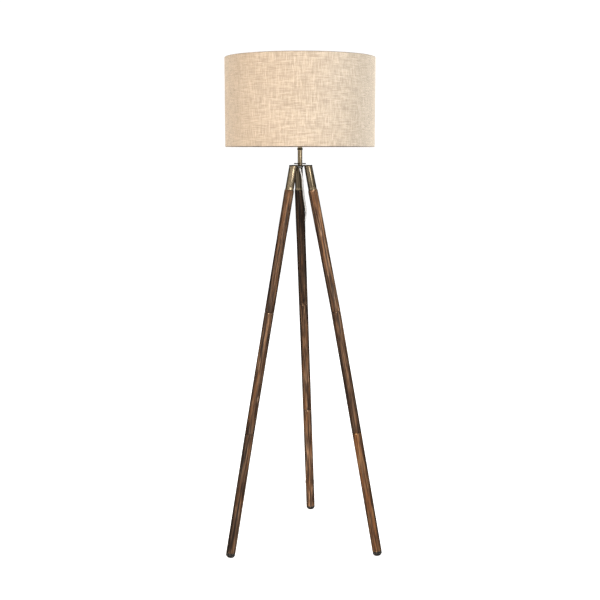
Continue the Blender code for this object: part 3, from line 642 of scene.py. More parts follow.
def tube(line, radius, sides=12, bore=None, facing=None):
    """A round mesh along a line, solid or with a bore. Radius is a number or a function of the
    share of the way along. Its map holds metres along the line and turns round it, from facing."""
    x = Vector(facing) if facing else (line[1] - line[0]).orthogonal().normalized()
    stations, length = [], 0.0
    for i, centre in enumerate(line):
        length += (centre - line[max(i - 1, 0)]).length
        along = heading(line, i)
        x = (x - along * x.dot(along)).normalized()
        y = along.cross(x)
        spokes = [x * cos(tau * k / sides) + y * sin(tau * k / sides) for k in range(sides)]
        stations.append((centre, spokes, length))
    rows = [(*station, radius(station[2] / length) if callable(radius) else radius) for station in stations]
    if bore:
        rows += [(*station, bore) for station in stations[::-1]]
    bm = loft([[centre + spoke * r for spoke in spokes] for centre, spokes, _, r in rows], bool(bore))
    uv = bm.loops.layers.uv.new("along")
    for number, face in enumerate(bm.faces):
        if len(face.loops) > 4:
            continue  # an end
        row, k = divmod(number, sides)
        here, there = rows[row][2], rows[(row + 1) % len(rows)][2]
        corners = ((here, k), (here, k + 1), (there, k + 1), (there, k))
        for loop, (at, turn) in zip(face.loops, corners):
            loop[uv].uv = (at, turn / sides)
    return bm


HALF_BAND = ((1, 0.35), (0.93, 1), (-0.93, 1), (-1, 0.35))
BAND_SECTION = (*HALF_BAND, *((-x, -y) for x, y in HALF_BAND))


def strap(path, across, width, thick, closed=False):
    """A flat band with eased edges along a path, its width lying across."""
    sections = []
    for i, point in enumerate(path):
        out = heading(path, i, closed).cross(across).normalized()
        sections.append([point + across * width / 2 * u + out * thick / 2 * v for u, v in BAND_SECTION])
    return loft(sections, closed)


def round_noise(angle, spread, height, shift=0.0):
    """Smooth noise round a turned piece that meets itself where it closes."""
    return noise.noise(Vector((cos(angle) * spread, sin(angle) * spread + shift, height)))


# The flex: out of the stem, down the rear leg's back, through the switch, and a tied hank


FLEX_DIAMETER = 0.0055
ROUTE_TO_SWITCH = (
    (-0.0121, -0.0297, 1.1735), (-0.0114, -0.0297, 1.1690), (-0.0097, -0.0288, 1.1620),
    (-0.0071, -0.0262, 1.1530), (-0.0050, -0.0207, 1.1400), (-0.0041, -0.0130, 1.1240),
    (-0.0027, -0.0054, 1.1080), (-0.0010, 0.0004, 1.0902), (0.0019, 0.0083, 1.0703),
    (0.0050, 0.0192, 1.0503), (0.0059, 0.0325, 1.0304), (0.0023, 0.0464, 1.0085),
    (-0.0041, 0.0548, 0.9856), (-0.0085, 0.0600, 0.9606), (-0.0081, 0.0641, 0.9406),
    (-0.0072, 0.0693, 0.9156), (-0.0049, 0.0828, 0.8506), (-0.0014, 0.1037, 0.7507),
    (-0.0006, 0.1083, 0.7282), (0.0001, 0.1119, 0.7107), (0.0009, 0.1183, 0.6887),
    (0.0016, 0.1259, 0.6678), (0.0021, 0.1289, 0.6534),
)
ROUTE_TO_HANK = (
    (0.0041, 0.1410, 0.5960), (0.0046, 0.1440, 0.5816), (0.0053, 0.1448, 0.5637),
    (0.0058, 0.1460, 0.5487), (0.0065, 0.1495, 0.5308), (0.0092, 0.1661, 0.4508),
    (0.0128, 0.1869, 0.3508), (0.0164, 0.2077, 0.2509), (0.0199, 0.2286, 0.1509),
    (0.0226, 0.2441, 0.0759), (0.0241, 0.2533, 0.0319), (0.0246, 0.2570, 0.0203),
    (0.0254, 0.2644, 0.0108), (0.0270, 0.2747, 0.0052), (0.0288, 0.2850, 0.0036),
    (0.0302, 0.2967, 0.0040),
)
ROUTE_TO_PLUG = (
    (0.0196, 0.4280, 0.0045), (0.0210, 0.4350, 0.0050), (0.0242, 0.4450, 0.0065),
    (0.0250, 0.4533, 0.0070),
)
FLEX_STEP = 0.0036
RELIEF_RADIUS = 0.0042
RELIEF_TAPER = 0.0010
RELIEF_RIB = 0.00025
HANK_X = 0.0250
HANK_NEAR = 0.31645
HANK_RUN = 0.0920
HANK_FOLD = 0.0165
HANK_WAIST = 0.0200
HANK_PITCH = 0.0056
HANK_FLOOR = 0.0042


def hank_route():
    """Two turns of the hank and its last run: flat below, pulled down to the tie above."""
    far, centre = HANK_NEAR + HANK_RUN, HANK_FLOOR + HANK_FOLD
    points = []
    for lane in range(3):
        x = HANK_X + HANK_PITCH * (1 - lane)
        runs = [HANK_NEAR + HANK_RUN * i / 8 for i in range(9)]
        points += [(x, y, HANK_FLOOR) for y in runs]
        if lane == 2:  # the last run goes on to the plug
            break
        points += [(x, far + HANK_FOLD * sin(a), centre - HANK_FOLD * cos(a)) for a in half_turn()]
        top = centre + HANK_FOLD
        for i in range(9):
            dip = HANK_WAIST * (1 - cos(tau * i / 8)) / 2
            points.append((x, far - HANK_RUN * i / 8, top - dip))
        for a in half_turn():
            shift = HANK_PITCH * (1 - cos(a)) / 2
            points.append((x - shift, HANK_NEAR - HANK_FOLD * sin(a), centre + HANK_FOLD * cos(a)))
    return points


def half_turn():
    """Angles along a half turn, without its ends."""
    return [pi * k / 10 for k in range(1, 10)]


def make_flex():
    route = [*ROUTE_TO_SWITCH, *ROUTE_TO_HANK, *hank_route(), *ROUTE_TO_PLUG]
    line = smooth_line(route, FLEX_STEP)
    # The map's turns start at the front, so the painted shade falls on the flex's sides.
    bm = tube(line, FLEX_DIAMETER / 2, 16, facing=(0, -1, 0))
    nodes = ("flex_upper", "flex_lower", "flex_hank", "flex_tail")
    return finished(bm, "mains_flex", "flex", nodes, sharp=80), line


def make_relief(line):
    """The ribbed sleeve where the flex leaves the stem."""

    def radius(share):
        rib = RELIEF_RIB if 0.15 < share < 0.85 and sin(share * 44) > 0 else 0.0
        return RELIEF_RADIUS - RELIEF_TAPER * share + rib

    start = [line[0].lerp(line[1], 0.15)]
    for a, b in zip(line, line[1:7]):
        steps = [a.lerp(b, (i + 1) / 6) for i in range(6)]
        start += [p for p in steps if (p - line[0]).length > 0.001]
    # Turns start at the front, as on the flex, so the painted shade falls on its sides.
    sleeve = tube(start, radius, 20, FLEX_DIAMETER / 2 + 0.00005, (0, -1, 0))
    return finished(sleeve, "flex_relief", "relief", "cord_relief")


TIE_THICK = 0.0009
TIE_CORNER = 0.0042


def make_tie():
    """A narrow band round the hank's waist."""
    low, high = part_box("hank_tie")
    centre = (low + high) / 2
    half_x, half_z = (high.x - low.x) / 2 - 0.0005, (high.z - low.z) / 2 - 0.0005
    path = []
    for quarter, (side, level) in enumerate(((1, 1), (-1, 1), (-1, -1), (1, -1))):
        for k in range(7):
            a = pi / 2 * (quarter + k / 6)
            x = side * (half_x - TIE_CORNER) + TIE_CORNER * cos(a)
            z = level * (half_z - TIE_CORNER) + TIE_CORNER * sin(a)
            path.append(centre + Vector((x, 0, z)))
    band = strap(path, Vector((0, 1, 0)), high.y - low.y, TIE_THICK, True)
    return finished(band, "flex_tie", "tie", "hank_tie")


# Shade


RIM = 0.0075  # how far the cloth is turned in over the rim wire
RIM_BEND = 0.0022
RIM_UNEVEN = 0.0003
HEM = 0.0110
# How tall the band of painted shade is along the bottom rim; the top rim's band is half as tall.
SHADED_EDGE_BAND = 0.0029
CLOTH = 0.0010
CLOTH_UNEVEN = 0.00035
SEAM_WIDTH = 0.0100
SEAM_RAISED = 0.0005
LINER_WALL = 0.0005
LINER_INSET = 0.003
FITTER_BORE = 0.0206
SPOKE_RADIUS = 0.0019
SPOKE_BEND = 0.036


def make_cloth():
    """The linen: turned in over the wire rings at both rims, with an overlapped seam at the back."""
    outer, inner = SHADE_RADIUS - CLOTH / 2, SHADE_RADIUS - RIM
    high, low = SHADE_HIGH.z - CLOTH / 2, SHADE_LOW.z + CLOTH / 2
    line = [(inner, high - HEM), (inner, high, RIM_BEND), (outer, high, RIM_BEND)]
    line += [(outer, high - 0.004 - (high - low - 0.008) * i / 22) for i in range(23)]
    line += [(outer, low, RIM_BEND), (inner, low, RIM_BEND), (inner, low + HEM)]
    centre = soften(line, steps=5)
    out, back = [], []
    for i, point in enumerate(centre):
        along = heading(centre, i)
        side = Vector((-along.y, along.x)) * CLOTH / 2
        out.append(point + side)
        back.append(point - side)
    profile = [tuple(p) for p in out + back[::-1]]
    seam = pi / 2
    half = SEAM_WIDTH / SHADE_RADIUS / 2
    angles = [seam + half + (tau - 2 * half) * k / 127 for k in range(128)]
    angles += [seam - half + 0.0008, seam, seam + half - 0.0008]

    def wobble(radius, height, angle):
        apart = abs((angle - seam + pi) % tau - pi)
        raised = SEAM_RAISED if apart < half - 0.0004 and radius > outer - 0.002 else 0.0
        wave = CLOTH_UNEVEN * round_noise(angle, 3, height * 9)
        edge = RIM_UNEVEN * round_noise(angle, 9, 4.0) if radius < inner + 0.001 else 0.0
        return radius + raised + wave, height + edge

    looks = ("linen", "linen_hem", "linen_rim")
    cloth = turned(profile, "linen_shade", looks, "shade_cover", "shade", angles, wobble, 60)
    # Painted shade: faces near the bottom rim take the nearly black linen, and faces near the top rim the
    # greyer linen.
    for face in cloth.data.polygons:
        if face.center.z < SHADE_LOW.z + SHADED_EDGE_BAND:
            face.material_index = 1
        elif face.center.z > SHADE_HIGH.z - SHADED_EDGE_BAND / 2:
            face.material_index = 2


def make_liner():
    low, high, radius = ring_size("shade_liner")
    corners = [(radius, high - LINER_INSET), (radius, low + LINER_INSET)]
    corners += [(r - LINER_WALL, z) for r, z in corners[::-1]]
    turned(corners, "shade_lining", "liner", "shade_liner", "shade", 128)


def make_rim_wires():
    for which in ("top", "bottom"):
        low, high, outer = ring_size(f"shade_{which}_ring")
        wire = (high - low) / 2
        centre, height = outer - wire, (high + low) / 2
        turns = [-tau * k / 10 for k in range(10)]
        circle = [(centre + wire * cos(turn), height + wire * sin(turn)) for turn in turns]
        turned(circle, f"{which}_rim_wire", "wire", f"shade_{which}_ring", "shade", 96)


def make_fitter():
    """The flat ring that sits on the lampholder, with three wires out to the lower rim."""
    low, high, outer = ring_size("spider_ring")
    ring = [(r, z, 0.0006) for r, z in ((outer, high), (outer, low), (FITTER_BORE, low), (FITTER_BORE, high))]
    turned(ring, "fitter_ring", "wire", "spider_ring", "shade")
    rim_low, rim_high, rim_radius = ring_size("shade_bottom_ring")
    rim_radius -= 0.004
    level = (low + high) / 2
    drop = level - (rim_low + rim_high) / 2
    for number in range(1, 4):
        spoke = middle(f"spider_spoke_{number}") - STEM
        out = Vector((spoke.x, spoke.y, 0)).normalized()
        ends = [(outer - 0.0004, level), (0.031, level)]
        ends += [(SPOKE_BEND, level - 0.0007), (0.050, level - 0.0030)]
        for share in (0.35, 0.6, 0.8, 0.93):
            ends.append((SPOKE_BEND + (rim_radius - SPOKE_BEND) * share, level - drop * share))
        ends.append((rim_radius, level - drop))
        route = [out * r + Vector((0, 0, z)) for r, z in ends]
        wire = tube(smooth_line(route, 0.004), SPOKE_RADIUS)
        node = f"spider_spoke_{number}"
        finished(wire, f"fitter_wire_{number}", "wire", node, AXIS, "shade")


# Lampholder and bulb


def threaded(radius, high, low, pitch, depth):
    """A profile down the outside of a thread."""
    count = round((high - low) / pitch * 6)
    heights = [high - (high - low) * i / count for i in range(count + 1)]
    return [(radius - depth * (1 - cos(tau * (high - z) / pitch)) / 2, z) for z in heights]


THREAD_PITCH = 0.0036
SKIRT_HOLE = 0.0073
SKIRT_WALL = 0.0016
SLEEVE_RADIUS = 0.0196
SLEEVE_PITCH = 0.0030
FLANGE_RADIUS = 0.0250
FLANGE_THICK = 0.003
SHELL_RADIUS = 0.0148
CAP_RADIUS = 0.0132
NUT_BORE = 0.0201
NUT_RIBS = 24


def make_holder():
    low, top, wide = ring_size("holder_skirt")
    base = low + 0.0018
    skirt = [
        (wide, top, 0.0006), (wide, base + 0.0160, 0.004), (wide - 0.0028, base + 0.0080, 0.004),
        (0.0112, base + 0.0028, 0.002), (0.0092, base, 0.0008), (SKIRT_HOLE, base, 0.0004),
        (SKIRT_HOLE, base + 0.0040, 0.001), (0.0145, base + 0.0100, 0.002),
        (wide - SKIRT_WALL, base + 0.0165, 0.002), (wide - SKIRT_WALL, top, 0.0004),
    ]
    turned(skirt, "holder_cup", "brass_turned", "holder_skirt")
    low, high, _ = ring_size("holder_sleeve")
    flange = low + FLANGE_THICK
    sleeve = [(SLEEVE_RADIUS - 0.0008, high), (SLEEVE_RADIUS, high - 0.0008)]
    sleeve += threaded(SLEEVE_RADIUS, high - 0.0010, flange + 0.0010, SLEEVE_PITCH, 0.0009)
    sleeve += [(SLEEVE_RADIUS, flange), (FLANGE_RADIUS - 0.0004, flange)]
    sleeve += [(FLANGE_RADIUS, flange - 0.0004), (FLANGE_RADIUS, flange - 0.0026)]
    sleeve += [(FLANGE_RADIUS - 0.0004, low), (0.0168, low), (0.0168, high)]
    turned(sleeve, "holder_body", "ceramic", "holder_sleeve")
    low, high, _ = ring_size("screw_shell")
    shell = threaded(SHELL_RADIUS, high, low, THREAD_PITCH, 0.0005)
    shell += [(r - 0.0005, z) for r, z in shell[::-1]]
    turned(shell, "thread_shell", "steel", "screw_shell")
    low, high, wide = ring_size("shade_ring_nut")
    nut = [
        (wide - 0.002, high, 0.0008), (wide - 0.002, low + 0.0034, 0.0006), (wide, low + 0.0029, 0.0008),
        (wide, low, 0.0006), (NUT_BORE, low, 0.0004), (NUT_BORE, high, 0.0006),
    ]

    def grip(radius, height, angle):
        rib = 0.0006 * max(0.0, cos(angle * NUT_RIBS)) if radius > 0.0225 else 0.0
        return radius - rib, height

    turned(nut, "shade_nut", "ceramic", "shade_ring_nut", "shade_nut", 192, grip)


def make_bulb():
    low, high, _ = ring_size("bulb_cap")
    cap = [(0, high), (CAP_RADIUS, high), (CAP_RADIUS, high - 0.0020)]
    cap += threaded(CAP_RADIUS, high - 0.0022, low + 0.0075, THREAD_PITCH, 0.0009)
    contact = [(0.0062, low + 0.0016), (0.0045, low + 0.0012), (0.0043, low + 0.0002), (0, low)]
    cap += [(0.0122, low + 0.0068), *contact]
    turned(cap, "bulb_screw_cap", "steel", "bulb_cap", "bulb")
    low, high, radius = ring_size("bulb_glass")
    centre = high - radius
    turns = [2.36 * k / 24 for k in range(25)]
    glass = [(radius * sin(turn), centre + radius * cos(turn)) for turn in turns]
    neck = [glass[-1], (0.0150, low + 0.0075, 0.008), (0.0140, low + 0.0010, 0.001), (0.0136, low), (0, low)]
    profile = glass[:-1] + soften(neck, steps=6)
    turned(profile, "bulb_globe", "opal", "bulb_glass", "bulb", sharp=60)


# Stem and head


STEM_BORE = 0.0050
LOBE_RADIUS = 0.0128


def make_stem():
    low, high, radius = ring_size("stem_tube")
    hole = radius + 0.0001
    stem = [(radius, high, 0.0004), (radius, low, 0.0005)]
    stem += [(STEM_BORE, low, 0.0004), (STEM_BORE, high, 0.0004)]
    turned(stem, "brass_stem", "brass", "stem_tube")
    low, high, wide = ring_size("stem_collar")
    collar = [
        (wide - 0.0012, high, 0.0004), (wide, high - 0.0012, 0.0008), (wide, low + 0.0012, 0.0008),
        (wide - 0.0012, low, 0.0004), (hole, low, 0.0002), (hole, high, 0.0002),
    ]
    turned(collar, "brass_collar", "brass_deep", "stem_collar")
    low, high, wide = ring_size("stem_disc")
    disc = [(wide, high, 0.0005), (wide, low, 0.0005), (hole, low, 0.0002), (hole, high, 0.0002)]
    turned(disc, "brass_disc", "brass_deep", "stem_disc")
    low, high, wide = ring_size("stem_nut")
    section = [(wide * cos(pi * k / 3), wide * sin(pi * k / 3)) for k in range(6)]
    levels = ((low, 0.93), (low + 0.0006, 1.0), (high - 0.0006, 1.0), (high, 0.93))
    bm = loft([[(x * s, y * s, z) for x, y in section] for z, s in levels])
    finished(bm, "hex_nut", "steel", "stem_nut", AXIS, sharp=20)


def make_plate():
    """The plate over the ferrules: a rounded lobe over each, straight between them."""
    low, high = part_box("head_plate")
    outline = []
    for name in ("rear", "left", "right"):
        place = LEGS[name][0]
        up = place.col[2].xyz
        centre = place.translation + up * ((low.z - place.translation.z) / up.z)
        x, y = centre.x - STEM.x, centre.y - STEM.y
        for k in range(17):
            a = atan2(y, x) - pi / 3 + tau / 3 * k / 16
            outline.append((x + LOBE_RADIUS * cos(a), y + LOBE_RADIUS * sin(a)))
    sections = []
    for z, inset in ((low.z, 0.0006), (low.z + 0.0006, 0.0), (high.z - 0.0008, 0.0), (high.z, 0.0008)):
        sections.append([(x, y, z) for x, y in drawn_in(outline, inset)])
    finished(loft(sections), "brass_plate", "brass_dark", "head_plate", AXIS, sharp=30)


# Legs


FERRULE_RIM = 0.0130
FERRULE_SLOPE = (0.0122 - 0.0130) / 0.0741
FERRULE_INSIDE = 0.0118
FERRULE_BEAD = 0.0005
FERRULES = {  # the seed of its patterns, how much lighter or darker it is painted as light and shade, and how strongly dark streaks of painted reflection lie on it
    "left": (1.0, 1.18, 0.15),
    "rear": (5.0, 1.3, 0.95),
    "right": (8.0, 0.80, 0.85),
}


def make_ferrule(leg, place):
    """A tapered cap with a rounded bead at its rim, cut level under the plate."""
    low, high = span(f"{leg}_ferrule", place)
    past = high + 0.004
    rim, bead = FERRULE_RIM, FERRULE_RIM + FERRULE_BEAD

    def wall(z):
        return rim + FERRULE_SLOPE * z

    profile = [
        (0, past), (wall(past), past), (wall(0.0090), 0.0090), (wall(0.0086) - 0.0003, 0.0084),
        (wall(0.0080), 0.0078), (wall(0.0040), 0.0026), (rim + 0.0001, 0.0023, 0.0003),
        (bead, 0.0019, 0.0004), (bead, 0.0003, 0.0006), (rim, low, 0.0004), (FERRULE_INSIDE, low, 0.0003),
        (FERRULE_INSIDE, low + 0.002), (0, low + 0.002),
    ]
    bm = lathe(soften(profile), 72)
    cut_off(bm, place, PLATE_UNDER - 0.0002, 1)
    # Each ferrule's copy of the brass is painted lighter or darker, and streaked with painted reflection.
    seed, light, dark_reflections = FERRULES[leg]
    look = brass(f"{leg}_ferrule_brass", seed, light=light, dark_reflections=dark_reflections)
    finished(bm, f"{leg}_brass_ferrule", look, f"{leg}_ferrule", place, sharp=30)


def cut_off(bm, place, level, way):
    """Cuts away what lies above that level, or below it where way is -1, and closes the cut."""
    inverse = place.inverted()
    point = inverse @ Vector((place.translation.x, place.translation.y, level))
    normal = inverse.to_3x3() @ Z_AXIS * way
    geometry = bm.verts[:] + bm.edges[:] + bm.faces[:]
    made = bmesh.ops.bisect_plane(bm, geom=geometry, plane_co=point, plane_no=normal, clear_outer=True)
    rim = [e for e in made["geom_cut"] if isinstance(e, bmesh.types.BMEdge)]
    bmesh.ops.contextual_create(bm, geom=rim)


LENGTH_EASE = 0.0008
LENGTHS = {  # how light it is at the low end and at the high end, its own tone with painted shade that darkens the rear leg towards the head, and the side where painted light falls, as an angle from the front
    "left": {"upper": (0.55, 0.80, 12), "middle": (0.54, 0.95, 2), "lower": (0.62, 0.62, 28)},
    "rear": {"upper": (0.55, 0.26, 10), "middle": (1.25, 0.74, 0), "lower": (1.84, 1.04, -5)},
    "right": {"upper": (1.04, 1.15, 24), "middle": (0.62, 0.96, 22), "lower": (0.80, 0.96, -14)},
}


def make_section(leg, part, seed, place):
    """One turned length of a leg, a little uneven, its ends eased."""
    node = f"{leg}_leg_{part}"
    points = local_points(node, place)
    low, high = span(node, place)
    high = min(high, 0.0)
    top_radius, low_radius = (
        max(p.xy.length for p in points if abs(p.z - end) < 0.002) for end in (high, low)
    )
    ease = LENGTH_EASE
    profile = [(0, high), (top_radius - 2.2 * ease, high), (top_radius - 0.7 * ease, high - 0.25 * ease)]
    count = 44
    for i in range(count + 1):
        z = high - ease - (high - low - 2 * ease) * i / count
        profile.append((top_radius + (low_radius - top_radius) * (high - z) / (high - low), z))
    profile += [(low_radius - 0.7 * ease, low + 0.25 * ease), (low_radius - 2.2 * ease, low), (0, low)]

    def uneven(radius, z, angle):
        if radius < top_radius - 3 * ease:
            return radius, z
        broad = round_noise(angle, 1.1, z * 16, seed * 5.0)
        fine = round_noise(angle, 6, z * 60, seed * 9.0)
        return radius + 0.00016 * broad + 0.00007 * fine, z

    # Lightness at both ends, with painted shade on the rear leg, and the side where painted light falls.
    low_lightness, high_lightness, lit_side = LENGTHS[leg][part]
    amber = node == "right_leg_lower"
    tones, slot = (AMBER_TONES, "amber_wood") if amber else (DARK_TONES, "wood")
    look = wood(f"{leg}_{part}_wood", seed, tones, low, high, (low_lightness, high_lightness), lit_side)
    finished(lathe(profile, 48, uneven), f"{leg}_{part}_length", look, node, place, sharp=50)


FOOT_RADIUS = 0.0140
FOOT_SIDE = 0.0055
FOOT_CROWN = 0.0100
FOOT_LINE = 0.0003


def make_foot(leg, place):
    """A rubber foot with a fine moulding line, flat where it stands."""
    top = span(f"{leg}_leg_lower", place)[0] - 0.0002
    radius, inner = FOOT_RADIUS, FOOT_RADIUS - FOOT_LINE
    profile = [(0, top), (radius - 0.0006, top), (radius, top - 0.0006)]
    profile += [(radius, top - 0.0018), (inner, top - 0.0021), (inner, top - 0.0025)]
    for k in range(16):
        a = pi / 2 * k / 16
        profile.append((radius * cos(a), top - FOOT_SIDE - FOOT_CROWN * sin(a)))
    bm = lathe(profile + [(0, top - FOOT_SIDE - FOOT_CROWN)], 64)
    cut_off(bm, place, 0, -1)
    finished(bm, f"{leg}_rubber_foot", "rubber", f"{leg}_foot", place)


def make_legs():
    seed = 1
    for leg, places in LEGS.items():
        make_ferrule(leg, places[0])
        for part, place in zip(LENGTHS[leg], places):
            make_section(leg, part, seed, place)
            seed += 1
        make_foot(leg, places[2])


# Clips, switch and plug, on the rear leg and the flex


WOOD_TOP_RADIUS = 0.0145
WOOD_SLOPE = 0.00045
CLIP_BAND = 0.0011
HOOP_START = -14  # degrees


def make_clip(number):
    """A clear saddle glued to the back of the leg, with the flex under its hoop."""
    place = LEGS["rear"][0]
    low, high = local_box(f"cord_clip_{number}", place)
    level = (low.z + high.z) / 2
    wood_radius = WOOD_TOP_RADIUS + WOOD_SLOPE * level
    flange = wood_radius + 0.0002 + CLIP_BAND / 2
    hoop = FLEX_DIAMETER / 2 + 0.0003 + CLIP_BAND / 2
    rise = wood_radius + 0.0005 + FLEX_DIAMETER / 2
    half = []
    for k in range(5):
        a = (high.x - 0.0004 - (high.x - 0.0052) * k / 4) / flange
        half.append((flange * sin(a), flange * cos(a)))
    for k in range(9):
        a = radians(HOOP_START + (90 - HOOP_START) * k / 8)
        half.append((hoop * cos(a), rise + hoop * sin(a)))
    path = half + [(-x, y) for x, y in half[-2::-1]]
    band = strap([Vector((x, y, level)) for x, y in path], Z_AXIS, high.z - low.z, CLIP_BAND)
    finished(band, f"flex_clip_{number}", "clip", f"cord_clip_{number}", place, sharp=50)


ROCKER_DOWN = 0.0020
ROCKER_TILT = radians(7)
ROCKER_DISH = 0.0260
ROCKER_SPREAD = radians(21.5)
ROCKER_PROUD = 0.0030
WINDOW_WIDE = 0.0102
WINDOW_LONG = 0.0210
WINDOW_LIP = 0.0020


def make_switch():
    """The in-line switch: two half shells, and a dished rocker in a sunk window."""
    rear = LEGS["rear"][0]
    low, high = local_box("switch_base", rear)
    cover_low, cover_high = local_box("switch_cover", rear)
    half_wide, half_long = (high.x - low.x) / 2, (high.z - low.z) / 2
    place = rear @ Matrix.Translation((0, 0, (low.z + high.z) / 2))

    def shell(heights):
        sections = []
        for y, inset in heights:
            sections.append([(x, y, z) for x, z in squarish(half_wide - inset, half_long - inset, 0.42, 48)])
        return loft(sections)

    base = ((low.y, 0.0016), (low.y + 0.0005, 0.0007), (low.y + 0.0014, 0.0001), (low.y + 0.0024, 0.0),
            (high.y - 0.0003, 0.0), (high.y, 0.0003))
    finished(shell(base), "switch_back", "plastic", "switch_base", place, sharp=35)
    top = cover_high.y
    cover = ((cover_low.y, 0.0003), (cover_low.y + 0.0003, 0.0), (top - 0.0046, 0.0), (top - 0.0030, 0.0003),
             (top - 0.0017, 0.0011), (top - 0.0008, 0.0022), (top - 0.0002, 0.0037), (top, 0.0055))
    front = finished(shell(cover), "switch_front", "plastic", "switch_cover", place, sharp=35)
    window = rounded_box((WINDOW_WIDE, 0.024, WINDOW_LONG), 0.0012, top)
    lip = rounded_box((WINDOW_WIDE + WINDOW_LIP, 0.0016, WINDOW_LONG + WINDOW_LIP), 0.0007, top + 0.0003)
    carve(front, window, lip)
    pivot = place @ Matrix.Translation((0, top - ROCKER_DOWN, 0)) @ Matrix.Rotation(ROCKER_TILT, 4, "X")
    outline = [(-0.0085, -0.0006, 0.0008), (-0.0060, -0.0020, 0.001)]
    outline += [(-z, y, rounding) for z, y, rounding in outline[::-1]]
    for k in range(25):
        a = ROCKER_SPREAD - 2 * ROCKER_SPREAD * k / 24
        outline.append((ROCKER_DISH * sin(a), ROCKER_DISH + ROCKER_PROUD - ROCKER_DISH * cos(a)))
    sections = []
    edge = ((-0.0046, 0.0006), (-0.0044, 0.0002), (-0.0040, 0.0))
    for x, inset in (*edge, *((-x, inset) for x, inset in edge[::-1])):
        sections.append([(x, y, z) for z, y in drawn_in(soften(outline, True), inset)])
    finished(loft(sections), "switch_key", "plastic", "switch_rocker", pivot, "rocker", 35)


PLUG_RELIEF = 0.0240
PLUG_BODY = 0.0340
PIN_SLEEVE = 0.0105
PIN_STEP = 0.00015


def plug_section(along):
    """The plug's half width and half height at that distance from the flex."""
    if along < PLUG_RELIEF:
        share = along / PLUG_RELIEF
        groove = 0.0007 if 0.002 < along < 0.020 and (along / 0.0030) % 1 > 0.55 else 0.0
        return 0.0036 + 0.0016 * share - groove, 0.0036 + 0.0010 * share - groove
    share = (along - PLUG_RELIEF) / PLUG_BODY
    swell = min(1.0, share * 1.6)
    ease = swell * swell * (3 - 2 * swell)
    return 0.0062 + 0.0114 * ease, 0.0052 + 0.00165 * min(1.0, 3 * share)


def make_plug():
    """A flat two-pin plug lying beside the hank, its sleeve ribbed towards the flex."""
    low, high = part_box("plug_body")
    centre, start = (low + high) / 2, low.y
    total = high.y - low.y
    stops = [PLUG_RELIEF * i / 48 for i in range(48)] + [PLUG_RELIEF - 0.0004, PLUG_RELIEF + 0.0001]
    stops += [PLUG_RELIEF + 0.0009 + (PLUG_BODY - 0.0022) * i / 20 for i in range(21)]
    stops = sorted(stops) + [total - 0.0006, total - 0.0001]
    sections = []
    for along in stops:
        rounding = max(0.0, along - (total - 0.0013)) * 0.8
        wide, deep = (half - rounding for half in plug_section(along))
        oblong = squarish(wide, deep, 0.5, 40)
        sections.append([(centre.x + x, start + along, centre.z + z) for x, z in oblong])
    finished(loft(sections), "plug_shell", "plastic", "plug_body", sharp=35)
    for number in (1, 2):
        make_pin(number, start + total - 0.0012)


def make_pin(number, face):
    """A round pin out of the plug's face, sleeved for its first half."""
    low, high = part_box(f"plug_pin_{number}")
    pin = (low + high) / 2
    place = Matrix.Translation((pin.x, face, pin.z)) @ Matrix.Rotation(-pi / 2, 4, "X")
    radius, length = (high.x - low.x) / 2, high.y - face
    bare = radius - PIN_STEP
    profile = [
        (0, length), (radius * 0.45, length), (radius * 0.75, length - 0.0004), (bare, length - 0.0014),
        (bare, PIN_SLEEVE), (radius - 0.0001, PIN_SLEEVE - 0.0001), (radius, PIN_SLEEVE - 0.0002),
        (radius, -0.002), (0, -0.002),
    ]
    looks = ("pin", "pin_sleeve")
    node = f"plug_pin_{number}"
    piece = finished(lathe(profile, 32), f"plug_contact_{number}", looks, node, place, sharp=35)
    for side in piece.data.polygons:
        if side.center.z < PIN_SLEEVE:
            side.material_index = 1


# The model's own pieces that stay


def paint(node, look):
    """Gives a CAD node a finished material."""
    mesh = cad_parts[node].data
    mesh.materials.clear()
    mesh.materials.append(material(look))


def paint_kept():
    for leg in LEGS:
        for which in ("top", "upper", "lower"):
            paint(f"{leg}_{which}_stud", "steel")
    paint("flex_inner", "clip")
    paint("holder_insert", "ceramic")


# Stage and light


FLOOR_RADIUS = 11.8
FLAG_RADIUS = 11.9
FLAG_FROM = 0.4
DOME_RADIUS = 12.0
DOME_GLOW = 1.05
WORLD_GREY = 0.35
SUN_POWER = 1.1
SUN_ANGLE = radians(100)
AIM_HEIGHT = 0.9
FILL_PLACE = (-2.5, -2.9, 1.6)
TALL_BOX = (1.2, 2.4)
SOFT_BOXES = (  # name, place, watts, size and colour
    ("key", (1.7, -3.3, 2.1), 95, TALL_BOX, (1.0, 0.985, 0.965)),
    ("fill", FILL_PLACE, 83, TALL_BOX, (1.0, 0.70, 0.43)),
    ("fill_gloss", FILL_PLACE, 84, TALL_BOX, (1.0, 0.94, 0.88)),
    ("back", (0.6, 3.4, 2.2), 30, (1.6, 2.0), (1.0, 1.0, 1.0)),
)


def studio_piece(name, bm, look, unseen_by):
    """A piece of the studio, left out for those kinds of ray."""
    piece = new_object(name, bm)
    piece.data.materials.append(look)
    for ray in unseen_by:
        setattr(piece, f"visible_{ray}", False)


def sphere(radius):
    bm = bmesh.new()
    bmesh.ops.create_uvsphere(bm, u_segments=64, v_segments=32, radius=radius)
    return bm


def glowing_white():
    white = bpy.data.materials.new("backdrop_white")
    white.use_nodes = True
    nodes = white.node_tree.nodes
    nodes.clear()
    glow = nodes.new("ShaderNodeEmission")
    glow.inputs["Strength"].default_value = DOME_GLOW
    output = nodes.new("ShaderNodeOutputMaterial")
    white.node_tree.links.new(glow.outputs[0], output.inputs["Surface"])
    return white


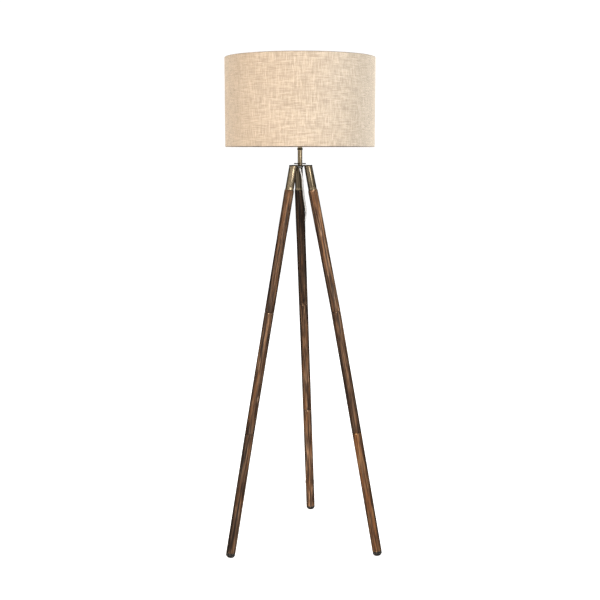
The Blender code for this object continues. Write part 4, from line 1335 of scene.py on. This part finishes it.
def make_stage():
    """A pale floor, a white backdrop that only the camera sees, and a black cloth round the back of
    the studio that only reflections show."""
    disc = bmesh.new()
    bmesh.ops.create_circle(disc, cap_ends=True, segments=96, radius=FLOOR_RADIUS)
    studio_piece("floor", disc, floor_paint(), ("glossy",))
    bounced = ("diffuse", "transmission", "shadow", "volume_scatter")
    studio_piece("backdrop", sphere(DOME_RADIUS), glowing_white(), ("glossy", *bounced))
    behind = sphere(FLAG_RADIUS)
    bmesh.ops.delete(behind, geom=[v for v in behind.verts if v.co.y < FLAG_FROM], context="VERTS")
    black = Look("black_cloth", roughness=1.0, specular_ior_level=0.0, base_color=(0.01, 0.01, 0.01))
    studio_piece("black_flag", behind, black.material, ("camera", *bounced))


def make_light(name, data, place):
    """A light aimed at the floor lamp. The warm fill is left out of reflections, and its neutral
    twin of everything else."""
    lamp = bpy.data.objects.new(name, data)
    direction = Vector((STEM.x, STEM.y, AIM_HEIGHT)) - Vector(place)
    lamp.matrix_world = Matrix.Translation(place) @ direction.to_track_quat("-Z", "Y").to_matrix().to_4x4()
    lamp.visible_glossy = name != "fill"
    lamp.visible_diffuse = name != "fill_gloss"
    bpy.context.scene.collection.objects.link(lamp)


def make_lights():
    """A grey world, a soft overhead sun and the soft boxes."""
    world = bpy.data.worlds.new("studio")
    bpy.context.scene.world = world
    world.use_nodes = True
    background = world.node_tree.nodes["Background"].inputs
    background["Color"].default_value = (1, 1, 1, 1)
    background["Strength"].default_value = WORLD_GREY
    sun = bpy.data.lights.new("overhead", "SUN")
    sun.energy, sun.angle = SUN_POWER, SUN_ANGLE
    make_light("overhead", sun, (0.6, -1.6, 3.4))
    for name, place, power, size, colour in SOFT_BOXES:
        data = bpy.data.lights.new(name, "AREA")
        data.energy, data.shape, data.color = power, "RECTANGLE", colour
        data.size, data.size_y = size
        make_light(name, data, place)
    bpy.context.scene.view_settings.view_transform = "Standard"


make_camera()
flex, flex_line = make_flex()
relief = make_relief(flex_line)
tie = make_tie()
make_cloth()
make_liner()
make_rim_wires()
make_fitter()
make_holder()
make_bulb()
make_stem()
make_plate()
make_legs()
for clip_number in (1, 2, 3):
    make_clip(clip_number)
make_switch()
make_plug()
paint_kept()
make_stage()
make_lights()
